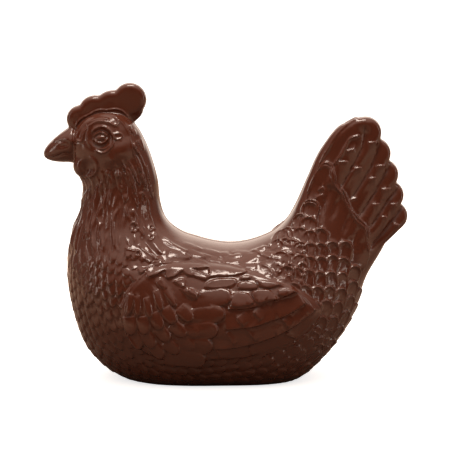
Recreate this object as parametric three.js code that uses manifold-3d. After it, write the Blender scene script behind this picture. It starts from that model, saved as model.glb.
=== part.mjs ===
// A sitting hen of moulded milk chocolate, in one piece, with a flat base to stand on.
// Millimetres. +Z is up, the tail points along +X and the beak along -X, and the mould's parting
// plane is Y = 0. The origin is the middle of the bounding box, on the surface it stands on.
import * as THREE from "three";
import { mergeVertices } from "three/addons/utils/BufferGeometryUtils.js";
import Module from "manifold-3d";

// ---- Driving dimensions ----

// The body line runs from the crown, down the neck, through the body and up the tail. At each
// station the mould's section reaches from a point on the back to a point on the front or belly,
// both on the parting plane, and bulges by half a width to each side. A squareness of 2 is an
// ellipse, and a larger one has flatter sides.
const STATIONS = [
  { at: "crown", back: [-48, 110.5], front: [-50, 110.5], half: 0, square: 2 },
  { at: "brow", back: [-41, 108.5], front: [-58, 107], half: 9.2, square: 2.1 },
  { at: "eye", back: [-36.5, 104], front: [-62.5, 101.5], half: 11.6, square: 2.2 },
  { at: "cheek", back: [-33.2, 98], front: [-63.5, 95.5], half: 12.6, square: 2.2 },
  { at: "jaw", back: [-30.4, 90.5], front: [-61.8, 88], half: 12.8, square: 2.2 },
  { at: "throat", back: [-28.2, 82], front: [-58.8, 80], half: 13, square: 2.1 },
  { at: "neck", back: [-27.2, 73], front: [-59.4, 72], half: 15, square: 2.1 },
  { at: "collar", back: [-24.6, 66], front: [-63, 62], half: 18.5, square: 2.1 },
  { at: "shoulder", back: [-18.5, 60.8], front: [-65.4, 49], half: 24, square: 2.1 },
  { at: "breast", back: [-12, 58.5], front: [-64.3, 33], half: 29, square: 2.1 },
  { at: "keel", back: [-5.5, 56.8], front: [-55.5, 10], half: 32.5, square: 2.1 },
  { at: "belly", back: [1.2, 56], front: [-31, -5], half: 34, square: 2.1 },
  { at: "middle", back: [7.8, 56.6], front: [-3, -7], half: 34, square: 2.1 },
  { at: "flank", back: [14, 58.4], front: [24, -4], half: 32.5, square: 2.1 },
  { at: "hip", back: [20, 61.3], front: [42.5, 11], half: 28, square: 2.2 },
  { at: "rump", back: [25.2, 66.2], front: [53, 27], half: 20.5, square: 2.3 },
  { at: "tail root", back: [29.4, 73.6], front: [58, 42], half: 14, square: 2.6 },
  { at: "coverts", back: [33.8, 83.5], front: [64.8, 54], half: 9, square: 3 },
  { at: "fan", back: [39.5, 95.3], front: [70.5, 67], half: 6.2, square: 3.4 },
  { at: "fan end", back: [49, 105.2], front: [68, 84], half: 4.8, square: 3.6 },
  { at: "tail tip", back: [58.5, 101], front: [60.5, 99], half: 0, square: 3.6 },
];
const ALONG_HULL = 48; // faces from crown to tail tip
const ROUND_HULL = 32; // faces round each section

// The comb is a thick plate with rounded lobes, each a disc, over a long low ridge, which is this
// many times thicker at its root.
const COMB = { half: 3.1, edge: 1.5, root: 1.05 };
const COMB_LOBES = [
  { x: -59.8, z: 107.2, r: 5.5 },
  { x: -53.8, z: 110.2, r: 6.6 },
  { x: -46.3, z: 110.8, r: 8.1 },
  { x: -39.4, z: 115.2, r: 6.7 },
];
const COMB_RIDGE = { x: -49, z: 107.5, length: 31, height: 13, lean: 15 };

// The beak is a cone with a drooping point, closed over a lower jaw. Both taper by the slope and
// then round off: the higher the bluntness, the shorter the rounded end.
const BEAK_SLOPE = 0.3;
const BEAK_BLUNTNESS = 2.2;
const BEAK = { tip: [-75, 92.8], root: [-59, 98.6], height: 16.5, width: 15 };
const JAW = { tip: [-71.5, 92], root: [-57, 92.4], height: 7.4, width: 11 };

const WATTLE = { x: -57.6, z: 88.6, r: 5, y: 5.4, half: 4.4 };
const EYE = { x: -50.7, z: 100.9, ring: 5.2, wire: 0.8, ball: 2.9 };

// The tail fan: round-ended blades whose end centres lie on an arc, like a hand of cards.
const FAN = {
  blades: 5,
  half: 4,
  edge: 1.8,
  length: 26,
  first: { x: 57.2, z: 101.6, r: 6.5, lean: 60 },
  last: { x: 69.2, z: 67.2, r: 5.6, lean: 47 },
  bow: 1.6, // how far the arc of end centres bulges backwards
};

// Each wing is a low pad with rows of feathers over it, laid out as seen from the side. A row's
// feathers run from a line of roots to a line of tips, both given from the lowest feather up. A
// leaf's thickness at its root is this share of that at its tip.
const LEAF_ROOT = 0.6;
const WING_PAD = { root: [-42.5, 33], tip: [39.5, 33.5], width: 41, thick: 2.2, taper: 0.45 };
const WING_ROWS = [
  // The long flight feathers, which gather at the wing's tip
  { count: 5, roots: [[-14, 16], [-4, 47]], tips: [[29, 22], [38, 37]], width: 8.6, thick: 3.1 },
  // The covering feathers over their roots
  { count: 5, roots: [[-27, 17], [-21, 48]], tips: [[-5, 14], [5, 46]], width: 8.8, thick: 3.9 },
  // The small feathers on the shoulder
  { count: 5, roots: [[-40, 25], [-35, 47]], tips: [[-22, 16], [-14, 46]], width: 8, thick: 4.4 },
];

// What is laid on the hull is sunk by this much.
const SINK = 0.5;

// A cube of this size, standing on the table, holds the whole hen with plenty of room.
const ROOM = 400;

// ---- Shapes ----

const wasm = await Module();
wasm.setup();

// A closed three.js geometry as a solid that can be joined and cut.
function solidFrom(geometry) {
  const bare = geometry.clone();
  bare.deleteAttribute("normal");
  bare.deleteAttribute("uv");
  const merged = mergeVertices(bare, 1e-4);
  return new wasm.Manifold(
    new wasm.Mesh({
      numProp: 3,
      vertProperties: new Float32Array(merged.attributes.position.array),
      triVerts: new Uint32Array(merged.index.array),
    }),
  );
}

function geometryFrom(solid) {
  const mesh = solid.getMesh();
  return new THREE.BufferGeometry()
    .setAttribute("position", new THREE.BufferAttribute(mesh.vertProperties, 3))
    .setIndex(new THREE.BufferAttribute(mesh.triVerts, 1));
}

// The largest closed skin of a solid, without the small gaps shut in between its joined pieces.
function outerSkin(solid) {
  return solid.decompose().reduce((a, b) => (a.volume() > b.volume() ? a : b));
}

// The same shape on the other side of the parting plane, with its faces still pointing out.
function mirrored(geometry) {
  const other = geometry.clone().applyMatrix4(new THREE.Matrix4().makeScale(1, -1, 1));
  const index = other.index.array;
  for (let i = 0; i < index.length; i += 3) [index[i], index[i + 1]] = [index[i + 1], index[i]];
  return other;
}

const onPlane = ([x, z]) => new THREE.Vector3(x, 0, z);
const smooth = (points) => new THREE.CatmullRomCurve3(points, false, "centripetal");
const backLine = smooth(STATIONS.map((s) => onPlane(s.back)));
const frontLine = smooth(STATIONS.map((s) => onPlane(s.front)));
const girth = smooth(STATIONS.map((s, i) => new THREE.Vector3(i, s.half, s.square)));

// A point of the hull: along runs from 0 at the crown to 1 at the tail's tip, and angle from 0 on
// the back, over one side, to pi on the front or belly, and on round the other side.
function hullPoint(along, angle) {
  const { y: half, z: square } = girth.getPoint(along);
  const rounded = (v) => Math.sign(v) * Math.abs(v) ** (2 / square);
  const point = backLine
    .getPoint(along)
    .lerp(frontLine.getPoint(along), (1 - rounded(Math.cos(angle))) / 2);
  point.y = half * rounded(Math.sin(angle));
  return point;
}

// Head, neck, body and the core of the tail, as a sphere drawn out along the body line.
function hull() {
  const geometry = new THREE.SphereGeometry(1, ROUND_HULL, ALONG_HULL);
  const { position, uv } = geometry.attributes;
  for (let i = 0; i < position.count; i++) {
    const along = THREE.MathUtils.clamp(1 - uv.getY(i), 0, 1);
    const column = Math.round(uv.getX(i) * ROUND_HULL) % ROUND_HULL;
    const atPole = along < 1e-6 || along > 1 - 1e-6;
    const p = hullPoint(along, atPole ? 0 : (column / ROUND_HULL) * 2 * Math.PI);
    position.setXYZ(i, p.x, p.y, p.z);
  }
  return geometry;
}

// A disc with rounded edges, standing in the parting plane.
function disc(radius, half, roundness) {
  const shape = new THREE.Shape().absarc(0, 0, radius - roundness, 0, 2 * Math.PI);
  return new THREE.ExtrudeGeometry(shape, {
    depth: 2 * (half - roundness),
    bevelThickness: roundness,
    bevelSize: roundness,
    bevelSegments: 2,
    curveSegments: 11,
  })
    .translate(0, 0, roundness - half)
    .rotateX(Math.PI / 2);
}

function comb() {
  const lobes = COMB_LOBES.map(({ x, z, r }) => disc(r, COMB.half, COMB.edge).translate(x, 0, z));
  const { x, z, length, height, lean } = COMB_RIDGE;
  const ridge = new THREE.SphereGeometry(1, 20, 12)
    .scale(length / 2, COMB.half * COMB.root, height / 2)
    .rotateY(-THREE.MathUtils.degToRad(lean))
    .translate(x, 0, z);
  return [...lobes, ridge];
}

// A cone from its root in the face to a blunt point: a sphere whose rings shrink towards the tip.
// The root closes within the first quarter of its length, inside the head.
function cone({ tip, root, height, width }) {
  const from = onPlane(root);
  const axis = onPlane(tip).sub(from);
  const geometry = new THREE.SphereGeometry(1, 14, 8).rotateZ(Math.PI / 2);
  const position = geometry.attributes.position;
  for (let i = 0; i < position.count; i++) {
    const t = (1 - position.getX(i)) / 2;
    const ring = Math.hypot(position.getY(i), position.getZ(i)) || 1;
    const rounding = Math.sqrt(Math.max(0, 1 - t ** BEAK_BLUNTNESS));
    const size = rounding * (1 - BEAK_SLOPE * t) * Math.min(1, 4 * t);
    const p = from.clone().addScaledVector(axis, t);
    position.setXYZ(
      i,
      p.x,
      (position.getY(i) / ring) * size * (width / 2),
      p.z + (position.getZ(i) / ring) * size * (height / 2),
    );
  }
  return geometry;
}

function wattle() {
  const { x, z, r, y, half } = WATTLE;
  return new THREE.SphereGeometry(1, 16, 10).scale(r, half, r).translate(x, -y, z);
}

// The tail feathers: each is a plate with straight sides and a round end.
function fan() {
  const { blades, half, edge, length, first, last, bow } = FAN;
  return Array.from({ length: blades }, (_, i) => {
    const t = i / (blades - 1);
    const mix = (key) => THREE.MathUtils.lerp(first[key], last[key], t);
    const radius = mix("r") - edge;
    const shape = new THREE.Shape()
      .moveTo(-length, -radius * 0.7)
      .lineTo(0, -radius)
      .absarc(0, 0, radius, -Math.PI / 2, Math.PI / 2)
      .lineTo(-length, radius * 0.7);
    return new THREE.ExtrudeGeometry(shape, {
      depth: 2 * (half - edge),
      bevelThickness: edge,
      bevelSize: edge,
      bevelSegments: 2,
      curveSegments: 6,
    })
      .translate(0, 0, edge - half)
      .rotateX(Math.PI / 2)
      .rotateY(-THREE.MathUtils.degToRad(mix("lean")))
      .translate(mix("x") + bow * Math.sin(Math.PI * t), 0, mix("z"));
  });
}

// A leaf in the side view, from root to tip, swelling towards -Y and thickest near its tip.
function leaf(root, tip, width, thickness, taper, around = 9, rings = 7) {
  const run = onPlane(tip).sub(onPlane(root));
  const geometry = new THREE.SphereGeometry(1, around, rings).rotateZ(-Math.PI / 2);
  const position = geometry.attributes.position;
  for (let i = 0; i < position.count; i++) {
    const t = (position.getX(i) + 1) / 2;
    const body = 1 - taper * t ** 2;
    position.setY(i, position.getY(i) * thickness * THREE.MathUtils.lerp(LEAF_ROOT, 1, t));
    position.setZ(i, position.getZ(i) * body * (width / 2));
  }
  return geometry
    .scale(run.length() / 2, 1, 1)
    .rotateY(-Math.atan2(run.z, run.x))
    .translate((root[0] + tip[0]) / 2, 0, (root[1] + tip[1]) / 2);
}

// Lays a shape drawn in the side view on the hull's near side, keeping its own thickness there and
// sinking its widest section a little below the surface.
function draped(hullMesh, geometry) {
  const position = geometry.attributes.position;
  const ray = new THREE.Raycaster();
  const straightIn = new THREE.Vector3(0, 1, 0);
  for (let i = 0; i < position.count; i++) {
    ray.set(new THREE.Vector3(position.getX(i), -ROOM, position.getZ(i)), straightIn);
    const [hit] = ray.intersectObject(hullMesh);
    position.setY(i, position.getY(i) + hit.point.y + SINK);
  }
  return geometry;
}

function wing(hullMesh) {
  const { root, tip, width, thick, taper } = WING_PAD;
  const between = ([a, b], t) => [0, 1].map((k) => THREE.MathUtils.lerp(a[k], b[k], t));
  const feathers = WING_ROWS.flatMap((row) =>
    Array.from({ length: row.count }, (_, i) => {
      const t = i / (row.count - 1);
      return leaf(between(row.roots, t), between(row.tips, t), row.width, row.thick, 0);
    }),
  );
  const pad = leaf(root, tip, width, thick, taper, 16, 10);
  return [pad, ...feathers].map((shape) => draped(hullMesh, shape));
}

function eye(hullMesh) {
  const ring = new THREE.TorusGeometry(EYE.ring, EYE.wire, 5, 16).rotateX(Math.PI / 2);
  const ball = new THREE.SphereGeometry(1, 12, 8).scale(EYE.ball, 1.2, EYE.ball * 0.75);
  return [ring, ball].map((shape) => draped(hullMesh, shape.translate(EYE.x, 0, EYE.z)));
}

// ---- Assembly ----

function hen() {
  const body = hull();
  const hullMesh = new THREE.Mesh(body);
  const oneSided = [wattle(), ...wing(hullMesh), ...eye(hullMesh)];
  const all = [
    body,
    cone(BEAK),
    cone(JAW),
    ...comb(),
    ...fan(),
    ...oneSided,
    ...oneSided.map(mirrored),
  ];
  const joined = all.map(solidFrom).reduce((sum, piece) => sum.add(piece));
  const above = new THREE.BoxGeometry(ROOM, ROOM, ROOM).translate(0, 0, ROOM / 2);
  const geometry = geometryFrom(outerSkin(joined.intersect(solidFrom(above))));
  geometry.computeBoundingBox();
  const middle = geometry.boundingBox.getCenter(new THREE.Vector3());
  return geometry.translate(-middle.x, -middle.y, -geometry.boundingBox.min.z);
}

const milkChocolate = new THREE.MeshStandardMaterial({
  color: new THREE.Color(0.19, 0.075, 0.045),
  roughness: 0.3,
  metalness: 0,
});

const mesh = new THREE.Mesh(hen(), milkChocolate);
mesh.name = "hen";

const group = new THREE.Group();
group.add(mesh);

export default group;
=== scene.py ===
"""A sitting hen of moulded milk chocolate, dressed for its studio picture.

The hen stands on Z = 0 with its beak towards -X and its tail towards +X, and the mould's parting
plane is Y = 0. Sizes are in millimetres, and MM turns them into metres where a mesh is made.

The solid forms are fused into one skin. The feathers are then cut into that skin as the engraver
of a mould cuts them, as places where the surface stands proud or sinks in. A place on the side is
given as it is seen from the side, as x and z.
"""

import logging
import math
from dataclasses import dataclass, field, fields, replace
from enum import Enum
from typing import ClassVar, Iterator, NamedTuple, Sequence

import bpy
import numpy as np
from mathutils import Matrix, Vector, kdtree


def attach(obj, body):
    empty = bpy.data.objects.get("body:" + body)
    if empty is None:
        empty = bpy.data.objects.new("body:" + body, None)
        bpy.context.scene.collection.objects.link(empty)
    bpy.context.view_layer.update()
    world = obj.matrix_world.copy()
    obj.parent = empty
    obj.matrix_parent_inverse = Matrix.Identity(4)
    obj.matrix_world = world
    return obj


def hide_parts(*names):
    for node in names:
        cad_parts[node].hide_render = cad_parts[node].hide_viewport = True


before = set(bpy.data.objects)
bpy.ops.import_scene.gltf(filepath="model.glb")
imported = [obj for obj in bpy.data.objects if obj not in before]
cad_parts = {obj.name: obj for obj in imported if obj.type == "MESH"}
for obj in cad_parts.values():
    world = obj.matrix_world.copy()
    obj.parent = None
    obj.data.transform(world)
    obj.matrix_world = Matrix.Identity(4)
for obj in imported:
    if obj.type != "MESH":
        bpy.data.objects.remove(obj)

log = logging.getLogger("chocolate_hen")

Array = np.ndarray
Flat = tuple[float, float]
Path = tuple[Flat, ...]  # a line or an outline in the side view
Triple = tuple[float, float, float]
Laid = tuple[float, float, float, float, float]  # a feather by its tip's x and z, angle, length and width

MM = 0.001
SEED = 7
PICTURE_WIDTH = 452  # pixels
PIXEL = 0.4132  # the millimetres at the hen that one pixel shows
SMOOTH_ALREADY = 24  # a line of this many points or more is cut as it is, and a shorter one is curved


# ---- Curves and shells ----


def curve(points: Sequence[Sequence[float]] | Array, at: Array) -> Array:
    """Places on a smooth curve through some points.

    Args:
        points: the points that the curve passes through, in order.
        at: how far along to look, from 0 at the first point to 1 at the last.

    Returns:
        One row for each value of at.
    """
    given = np.asarray(points, float)
    ends = np.vstack([2 * given[0] - given[1], given, 2 * given[-1] - given[-2]])
    along = np.clip(np.asarray(at, float), 0, 1) * (len(given) - 1)
    first = np.minimum(along.astype(int), len(given) - 2)
    share = (along - first)[:, None]
    p0, p1, p2, p3 = (ends[first + k] for k in range(4))
    d0, d1, d2 = (
        np.maximum(np.linalg.norm(b - a, axis=1), 1e-6)[:, None] ** 0.5
        for a, b in ((p0, p1), (p1, p2), (p2, p3))
    )
    leave = ((p1 - p0) / d0 - (p2 - p0) / (d0 + d1) + (p2 - p1) / d1) * d1
    arrive = ((p2 - p1) / d1 - (p3 - p1) / (d1 + d2) + (p3 - p2) / d2) * d1
    square = -3 * p1 + 3 * p2 - 2 * leave - arrive
    cube = 2 * p1 - 2 * p2 + leave + arrive
    return p1 + leave * share + square * share**2 + cube * share**3


def drawn(points: Sequence[Sequence[float]], steps: int = 24) -> Array:
    """A smooth line through some points, as that many short straight steps."""
    return curve(points, np.linspace(0, 1, steps + 1))


def ring(points: Sequence[Sequence[float]], steps: int = 72) -> Array:
    """A smooth closed outline through some points. Its last point isn't repeated."""
    given = np.asarray(points, float)
    wrapped = np.vstack([given[-2:], given, given[:3]])
    start, stop = 2 / (len(wrapped) - 1), (len(given) + 2) / (len(wrapped) - 1)
    return curve(wrapped, np.linspace(start, stop, steps, endpoint=False))


def oval(x: float, z: float, wide: float, high: float, start: float = 0, stop: float = 360) -> Array:
    """Points round an oval in the side view, anticlockwise between two angles in degrees."""
    turn = np.radians(np.linspace(start, stop, 40))
    return np.stack([x + wide * np.cos(turn), z + high * np.sin(turn)], axis=1)


def tilted(points: Array, x: float, z: float, angle: float) -> Array:
    """Points of the side view, turned about a place by an angle in degrees, anticlockwise."""
    turn = math.radians(angle)
    spin = np.array([[math.cos(turn), math.sin(turn)], [-math.sin(turn), math.cos(turn)]])
    return (points - (x, z)) @ spin + (x, z)


def smooth(share: Array) -> Array:
    """Eases a share from 0 to 1 with a level start and end."""
    held = np.clip(share, 0, 1)
    return held * held * (3 - 2 * held)


class Shell(NamedTuple):
    """A closed surface: its points in millimetres, and its faces as point numbers."""

    points: Array
    faces: list[tuple[int, ...]]


def spun(rings: Array) -> Shell:
    """Closes a stack of rings into a shell.

    Args:
        rings: points by ring, place round the ring, and x, y, z. The first and last rings are poles.

    Returns:
        The shell, with its poles as fans.
    """
    count, around = rings.shape[:2]
    points = np.vstack([rings[0, :1], rings[1:-1].reshape(-1, 3), rings[-1, :1]])
    last = len(points) - 1
    faces: list[tuple[int, ...]] = []
    for k in range(around):
        n = (k + 1) % around
        faces.append((0, 1 + n, 1 + k))
        for r in range(count - 3):
            low, high = 1 + r * around, 1 + (r + 1) * around
            faces.append((low + k, low + n, high + n, high + k))
        top = 1 + (count - 3) * around
        faces.append((last, top + k, top + n))
    return Shell(points, faces)


def blob(centre: Array, reach: Array, steps: int = 40) -> Shell:
    """An ellipsoid round a centre, with its reach along each axis."""
    polar = np.linspace(0, np.pi, steps)[:, None]
    round_ = np.linspace(0, 2 * np.pi, 2 * steps, endpoint=False)[None, :]
    way = np.stack(
        [np.sin(polar) * np.cos(round_), np.cos(polar) + 0 * round_, np.sin(polar) * np.sin(round_)],
        axis=-1,
    )
    return spun(way * reach + centre)


def plate(outline: Array, half: float | Array, rim: float, steps: int = 5) -> Shell:
    """A flat plate in the parting plane with a rounded rim.

    Args:
        outline: its outline in the side view, anticlockwise, without a repeated point.
        half: half its thickness, either one value or one for each point.
        rim: the radius of the rim.
        steps: how many steps round off each side of the rim.

    Returns:
        The closed plate.
    """
    run = np.roll(outline, -1, axis=0) - np.roll(outline, 1, axis=0)
    inward = np.stack([-run[:, 1], run[:, 0]], axis=1)
    inward /= np.linalg.norm(inward, axis=1, keepdims=True)
    turns = np.linspace(-np.pi / 2, np.pi / 2, 2 * steps)
    layers = []
    for turn in turns:
        flat = outline + inward * rim * (1 - np.cos(turn))
        across = np.sign(turn) * (half - rim) + rim * np.sin(turn)
        layers.append(np.stack([flat[:, 0], across + 0 * flat[:, 0], flat[:, 1]], axis=1))
    count = len(outline)
    faces: list[tuple[int, ...]] = [tuple(range(count))]
    for r in range(len(layers) - 1):
        low, high = r * count, (r + 1) * count
        faces += [(low + k, low + (k + 1) % count, high + (k + 1) % count, high + k) for k in range(count)]
    faces.append(tuple(reversed(range((len(layers) - 1) * count, len(layers) * count))))
    return Shell(np.vstack(layers), faces)


# ---- The skin and what is cut into it ----


class Skin:
    """The hen's surface as loose points, which can be eased and pushed along their normals."""

    def __init__(self, mesh: bpy.types.Mesh) -> None:
        """Takes the points, edges and triangles of a mesh in metres.

        Args:
            mesh: a closed mesh of even, small faces.
        """
        self.mesh = mesh
        place = np.empty(len(mesh.vertices) * 3)
        mesh.vertices.foreach_get("co", place)
        self.points = place.reshape(-1, 3) / MM
        pairs = np.empty(len(mesh.edges) * 2, np.int32)
        mesh.edges.foreach_get("vertices", pairs)
        self.a, self.b = pairs.reshape(-1, 2).T
        self.degree = (self.total(self.a) + self.total(self.b)).astype(float)
        mesh.calc_loop_triangles()
        corners = np.empty(len(mesh.loop_triangles) * 3, np.int32)
        mesh.loop_triangles.foreach_get("vertices", corners)
        self.triangles = corners.reshape(-1, 3)

    def total(self, index: Array, weight: Array | None = None) -> Array:
        """Adds up a weight, or a count, for each point."""
        return np.bincount(index, weight, minlength=len(self.points))

    def around(self, values: Array) -> Array:
        """The mean of each point's neighbours, for one value a point."""
        return (self.total(self.a, values[self.b]) + self.total(self.b, values[self.a])) / self.degree

    def ease(self, times: int, strength: float = 0.5) -> None:
        """Smooths the surface by moving each point towards its neighbours.

        Args:
            times: how often.
            strength: the share of the way that each point moves.
        """
        for _ in range(times):
            mean = np.stack([self.around(self.points[:, k]) for k in range(3)], axis=1)
            self.points += (mean - self.points) * strength

    def normals(self) -> Array:
        """The outward direction at each point."""
        p, q, r = (self.points[self.triangles[:, k]] for k in range(3))
        across = np.cross(q - p, r - p)
        out = np.zeros_like(self.points)
        for k in range(3):
            for axis in range(3):
                out[:, axis] += self.total(self.triangles[:, k], across[:, axis])
        return out / np.maximum(np.linalg.norm(out, axis=1, keepdims=True), 1e-12)

    def write(self) -> bpy.types.Mesh:
        """Puts the points back into the mesh, in metres.

        Returns:
            The mesh.
        """
        self.mesh.vertices.foreach_set("co", (self.points * MM).ravel())
        self.mesh.update()
        return self.mesh


class Relief:
    """Heights over a skin, in millimetres, that feathers and lines are cut into.

    Both sides are cut at once, as the two halves of a mould match. A point is held as its place on
    one side, with y as its distance from the parting plane.
    """

    FACING = (0.05, 0.3)  # what is cut from the side fades out where the surface turns away
    SEARCH = 1.5  # how far round a place on the side its surface is looked for

    def __init__(self, skin: Skin) -> None:
        """Sorts the skin's points along X, so that those near a place are found fast."""
        self.skin = skin
        side = np.where(skin.points[:, 1] < 0, -1.0, 1.0)
        fold = np.stack([np.ones_like(side), side, np.ones_like(side)], axis=1)
        self.order = np.argsort(skin.points[:, 0])
        self.place = (skin.points * fold)[self.order]
        self.out = (skin.normals() * fold)[self.order]
        self.height = np.zeros(len(self.place))
        low, high = self.FACING
        self.turned = smooth((self.out[:, 1] - low) / (high - low))

    def window(self, low: float, high: float) -> slice:
        """The points between two values of x."""
        start, stop = np.searchsorted(self.place[:, 0], (low, high))
        return slice(int(start), int(stop))

    def near(self, centre: Array, reach: float) -> tuple[Array, Array]:
        """Finds the points round a place.

        Args:
            centre: the place, with y as its distance from the parting plane.
            reach: how far to look along each axis.

        Returns:
            The numbers of the points, and their places from the centre.
        """
        part = self.window(centre[0] - reach, centre[0] + reach)
        local = self.place[part] - centre
        kept = np.nonzero((np.abs(local[:, 1:]) < reach).all(axis=1))[0]
        return kept + part.start, local[kept]

    def beside(self, line: Array, reach: float) -> tuple[Array, Array]:
        """Finds the points that face sideways near a line in the side view.

        Args:
            line: points in x and z.
            reach: how far to look beyond the line's own box.

        Returns:
            The numbers of the points, and their x and z.
        """
        low, high = line.min(axis=0) - reach, line.max(axis=0) + reach
        part = self.window(low[0], high[0])
        z = self.place[part, 2]
        kept = np.nonzero((z > low[1]) & (z < high[1]) & (self.out[part, 1] > self.FACING[0]))[0]
        index = kept + part.start
        return index, self.place[index][:, [0, 2]]

    def surface(self, x: float, z: float) -> tuple[Array, Array]:
        """The place and outward direction of the side's surface at x and z."""
        index, flat = self.beside(np.array([(x, z)]), self.SEARCH)
        nearest = index[np.argmin(np.linalg.norm(flat - (x, z), axis=1))]
        return self.place[nearest], self.out[nearest]

    def raise_to(self, index: Array, height: Array) -> None:
        """Lifts points to a height where they are lower."""
        self.height[index] = np.maximum(self.height[index], height)

    def add(self, index: Array, height: Array) -> None:
        """Adds to the height of points."""
        self.height[index] += height

    def press(self) -> None:
        """Moves the skin's points out by their heights."""
        height = np.empty_like(self.height)
        height[self.order] = self.height
        self.skin.points += self.skin.normals() * height[:, None]


def beside_line(flat: Array, line: Array) -> tuple[Array, Array]:
    """Measures points against a line in the side view.

    Args:
        flat: the points' x and z.
        line: the line's points.

    Returns:
        Each point's distance, positive on the left of the line's way, and how far along the line
        its nearest place is, in millimetres.
    """
    nearest = np.full(len(flat), np.inf)
    signed, along = np.zeros(len(flat)), np.zeros(len(flat))
    passed = 0.0
    for a, b in zip(line[:-1], line[1:]):
        run = b - a
        length = max(float(np.linalg.norm(run)), 1e-9)
        share = np.clip(((flat - a) @ run) / length**2, 0, 1)
        off = flat - a - share[:, None] * run
        distance = np.linalg.norm(off, axis=1)
        closer = distance < nearest
        nearest[closer] = distance[closer]
        left = np.sign(run[0] * off[:, 1] - run[1] * off[:, 0])
        signed[closer] = (distance * left)[closer]
        along[closer] = (passed + share * length)[closer]
        passed += length
    return signed, along


def within(flat: Array, outline: Array) -> Array:
    """How deep points lie inside a closed outline, negative outside."""
    closed = np.vstack([outline, outline[:1]])
    distance = np.abs(beside_line(flat, closed)[0])
    inside = np.zeros(len(flat), bool)
    x, z = flat.T
    for (ax, az), (bx, bz) in zip(closed[:-1], closed[1:]):
        crosses = (az > z) != (bz > z)
        inside ^= crosses & (x < (bx - ax) * (z - az) / (bz - az + 1e-12) + ax)
    return np.where(inside, distance, -distance)


@dataclass(frozen=True)
class Feather:
    """The shape of one small feather, which lies along its direction from its root to its tip."""

    length: float
    width: float
    height: float
    root: float = 0.35  # its height at the root, as a share
    shoulder: float = 0.5  # where it starts to narrow, as a share of its length
    point: float = 2.0  # 2 is a round tip, 1 is a pointed one
    edge: float = 0.6  # the width of the slope at its rim
    crown: float = 0.15  # how much lower it is at its sides, as a share
    dish: float = 0.0  # how far its middle sinks inside the rim, as a share
    rim: float = 0.9  # the width of that rim

    SEARCH: ClassVar[float] = 0.62  # how far its skin is looked for, as a share of its longer side
    MARGIN: ClassVar[float] = 0.5  # and how much farther
    FACING: ClassVar[float] = 0.2  # the least cosine between the skin's direction and the feather's
    ROOT_SLOPE: ClassVar[float] = 0.15  # the share of its length over which it rises at its root
    DISH_START: ClassVar[float] = 0.7  # where the dish starts on the edge's slope, as a share of it
    FLATTEST: ClassVar[float] = 0.05  # keeps the depth finite along the feather's middle

    def mixed(self, other: "Feather", share: float) -> "Feather":
        """A feather between this one and another."""
        names = [f.name for f in fields(self)]
        return Feather(**{n: getattr(self, n) * (1 - share) + getattr(other, n) * share for n in names})

    def cut(self, relief: Relief, middle: Array, way: Array, out: Array, base: float = 0.0) -> None:
        """Raises this feather on the skin.

        Args:
            relief: the heights to cut into.
            middle: the middle of the feather on the skin.
            way: its direction along the skin, from root to tip.
            out: the skin's outward direction there.
            base: the height that it lies on.
        """
        index, local = relief.near(middle, self.SEARCH * max(self.length, self.width) + self.MARGIN)
        way = way - out * (way @ out)
        way = way / np.linalg.norm(way)
        u = local @ way / self.length + 0.5
        v = local @ np.cross(out, way) / (self.width / 2)
        past = np.clip((u - self.shoulder) / (1 - self.shoulder), 0, None)
        inside = 1 - past**self.point - v**2
        slope = np.hypot(
            self.point * np.maximum(past, 1e-3) ** (self.point - 1) / ((1 - self.shoulder) * self.length),
            4 * np.abs(v) / self.width,
        )
        depth = inside / (slope + self.FLATTEST)
        kept = (u > 0) & (depth > 0) & ((relief.out[index] @ out) > self.FACING)
        index, u, v, depth = index[kept], u[kept], v[kept], depth[kept]
        rise = self.root + (1 - self.root) * np.clip(u, 0, 1)
        rim = np.sin(np.pi / 2 * np.clip(depth / self.edge, 0, 1)) * smooth(u / self.ROOT_SLOPE)
        sunk = 1 - self.dish * smooth((depth - self.edge * self.DISH_START) / self.rim)
        relief.raise_to(index, (base + self.height * rise * (1 - self.crown * v**2) * sunk) * rim)

    def laid(self, relief: Relief, tip: Flat, angle: float, base: float = 0.0) -> None:
        """Raises this feather on the side, with its tip at a place in the side view.

        Args:
            relief: the heights to cut into.
            tip: the tip's x and z.
            angle: its direction from root to tip, in degrees anticlockwise from +X.
            base: the height that it lies on.
        """
        turn = math.radians(angle)
        way = np.array([math.cos(turn), 0.0, math.sin(turn)])
        middle, out = relief.surface(tip[0] - way[0] * self.length / 2, tip[1] - way[2] * self.length / 2)
        self.cut(relief, middle, way, out, base)


class Lines(Enum):
    """How a line is cut: as a furrow or ridge, or as a step."""

    FURROW = "furrow"
    STEP = "step"


@dataclass(frozen=True)
class Cut:
    """A line cut in the side view.

    A furrow is sunk by its depth, or raised where the depth is negative. A step is raised by its
    depth on the left of its way, fading over its reach.
    """

    WIDTHS: ClassVar[float] = 3  # a line is worked out over this many of its widths
    REACHES: ClassVar[float] = 2.5  # and a step over this many of its reaches besides

    points: Sequence[Flat] | Array
    depth: float
    width: float
    kind: Lines = Lines.FURROW
    reach: float = 3.0
    fade: float = 1.5  # the length over which each end fades out

    def cut(self, relief: Relief) -> None:
        """Cuts the line into the relief."""
        curved = 2 < len(self.points) < SMOOTH_ALREADY
        line = drawn(self.points) if curved else np.asarray(self.points)
        span = self.WIDTHS * self.width + (self.REACHES * self.reach if self.kind is Lines.STEP else 0)
        index, flat = relief.beside(line, span)
        across, along = beside_line(flat, line)
        total = float(np.linalg.norm(np.diff(line, axis=0), axis=1).sum())
        ends = smooth(along / self.fade) * smooth((total - along) / self.fade) if self.fade else 1.0
        if self.kind is Lines.FURROW:
            shape = -np.exp(-((across / self.width) ** 2))
        else:
            shape = smooth(across / self.width + 0.5) * np.exp(-np.maximum(across, 0) / self.reach)
        relief.add(index, self.depth * shape * ends * relief.turned[index])


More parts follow.
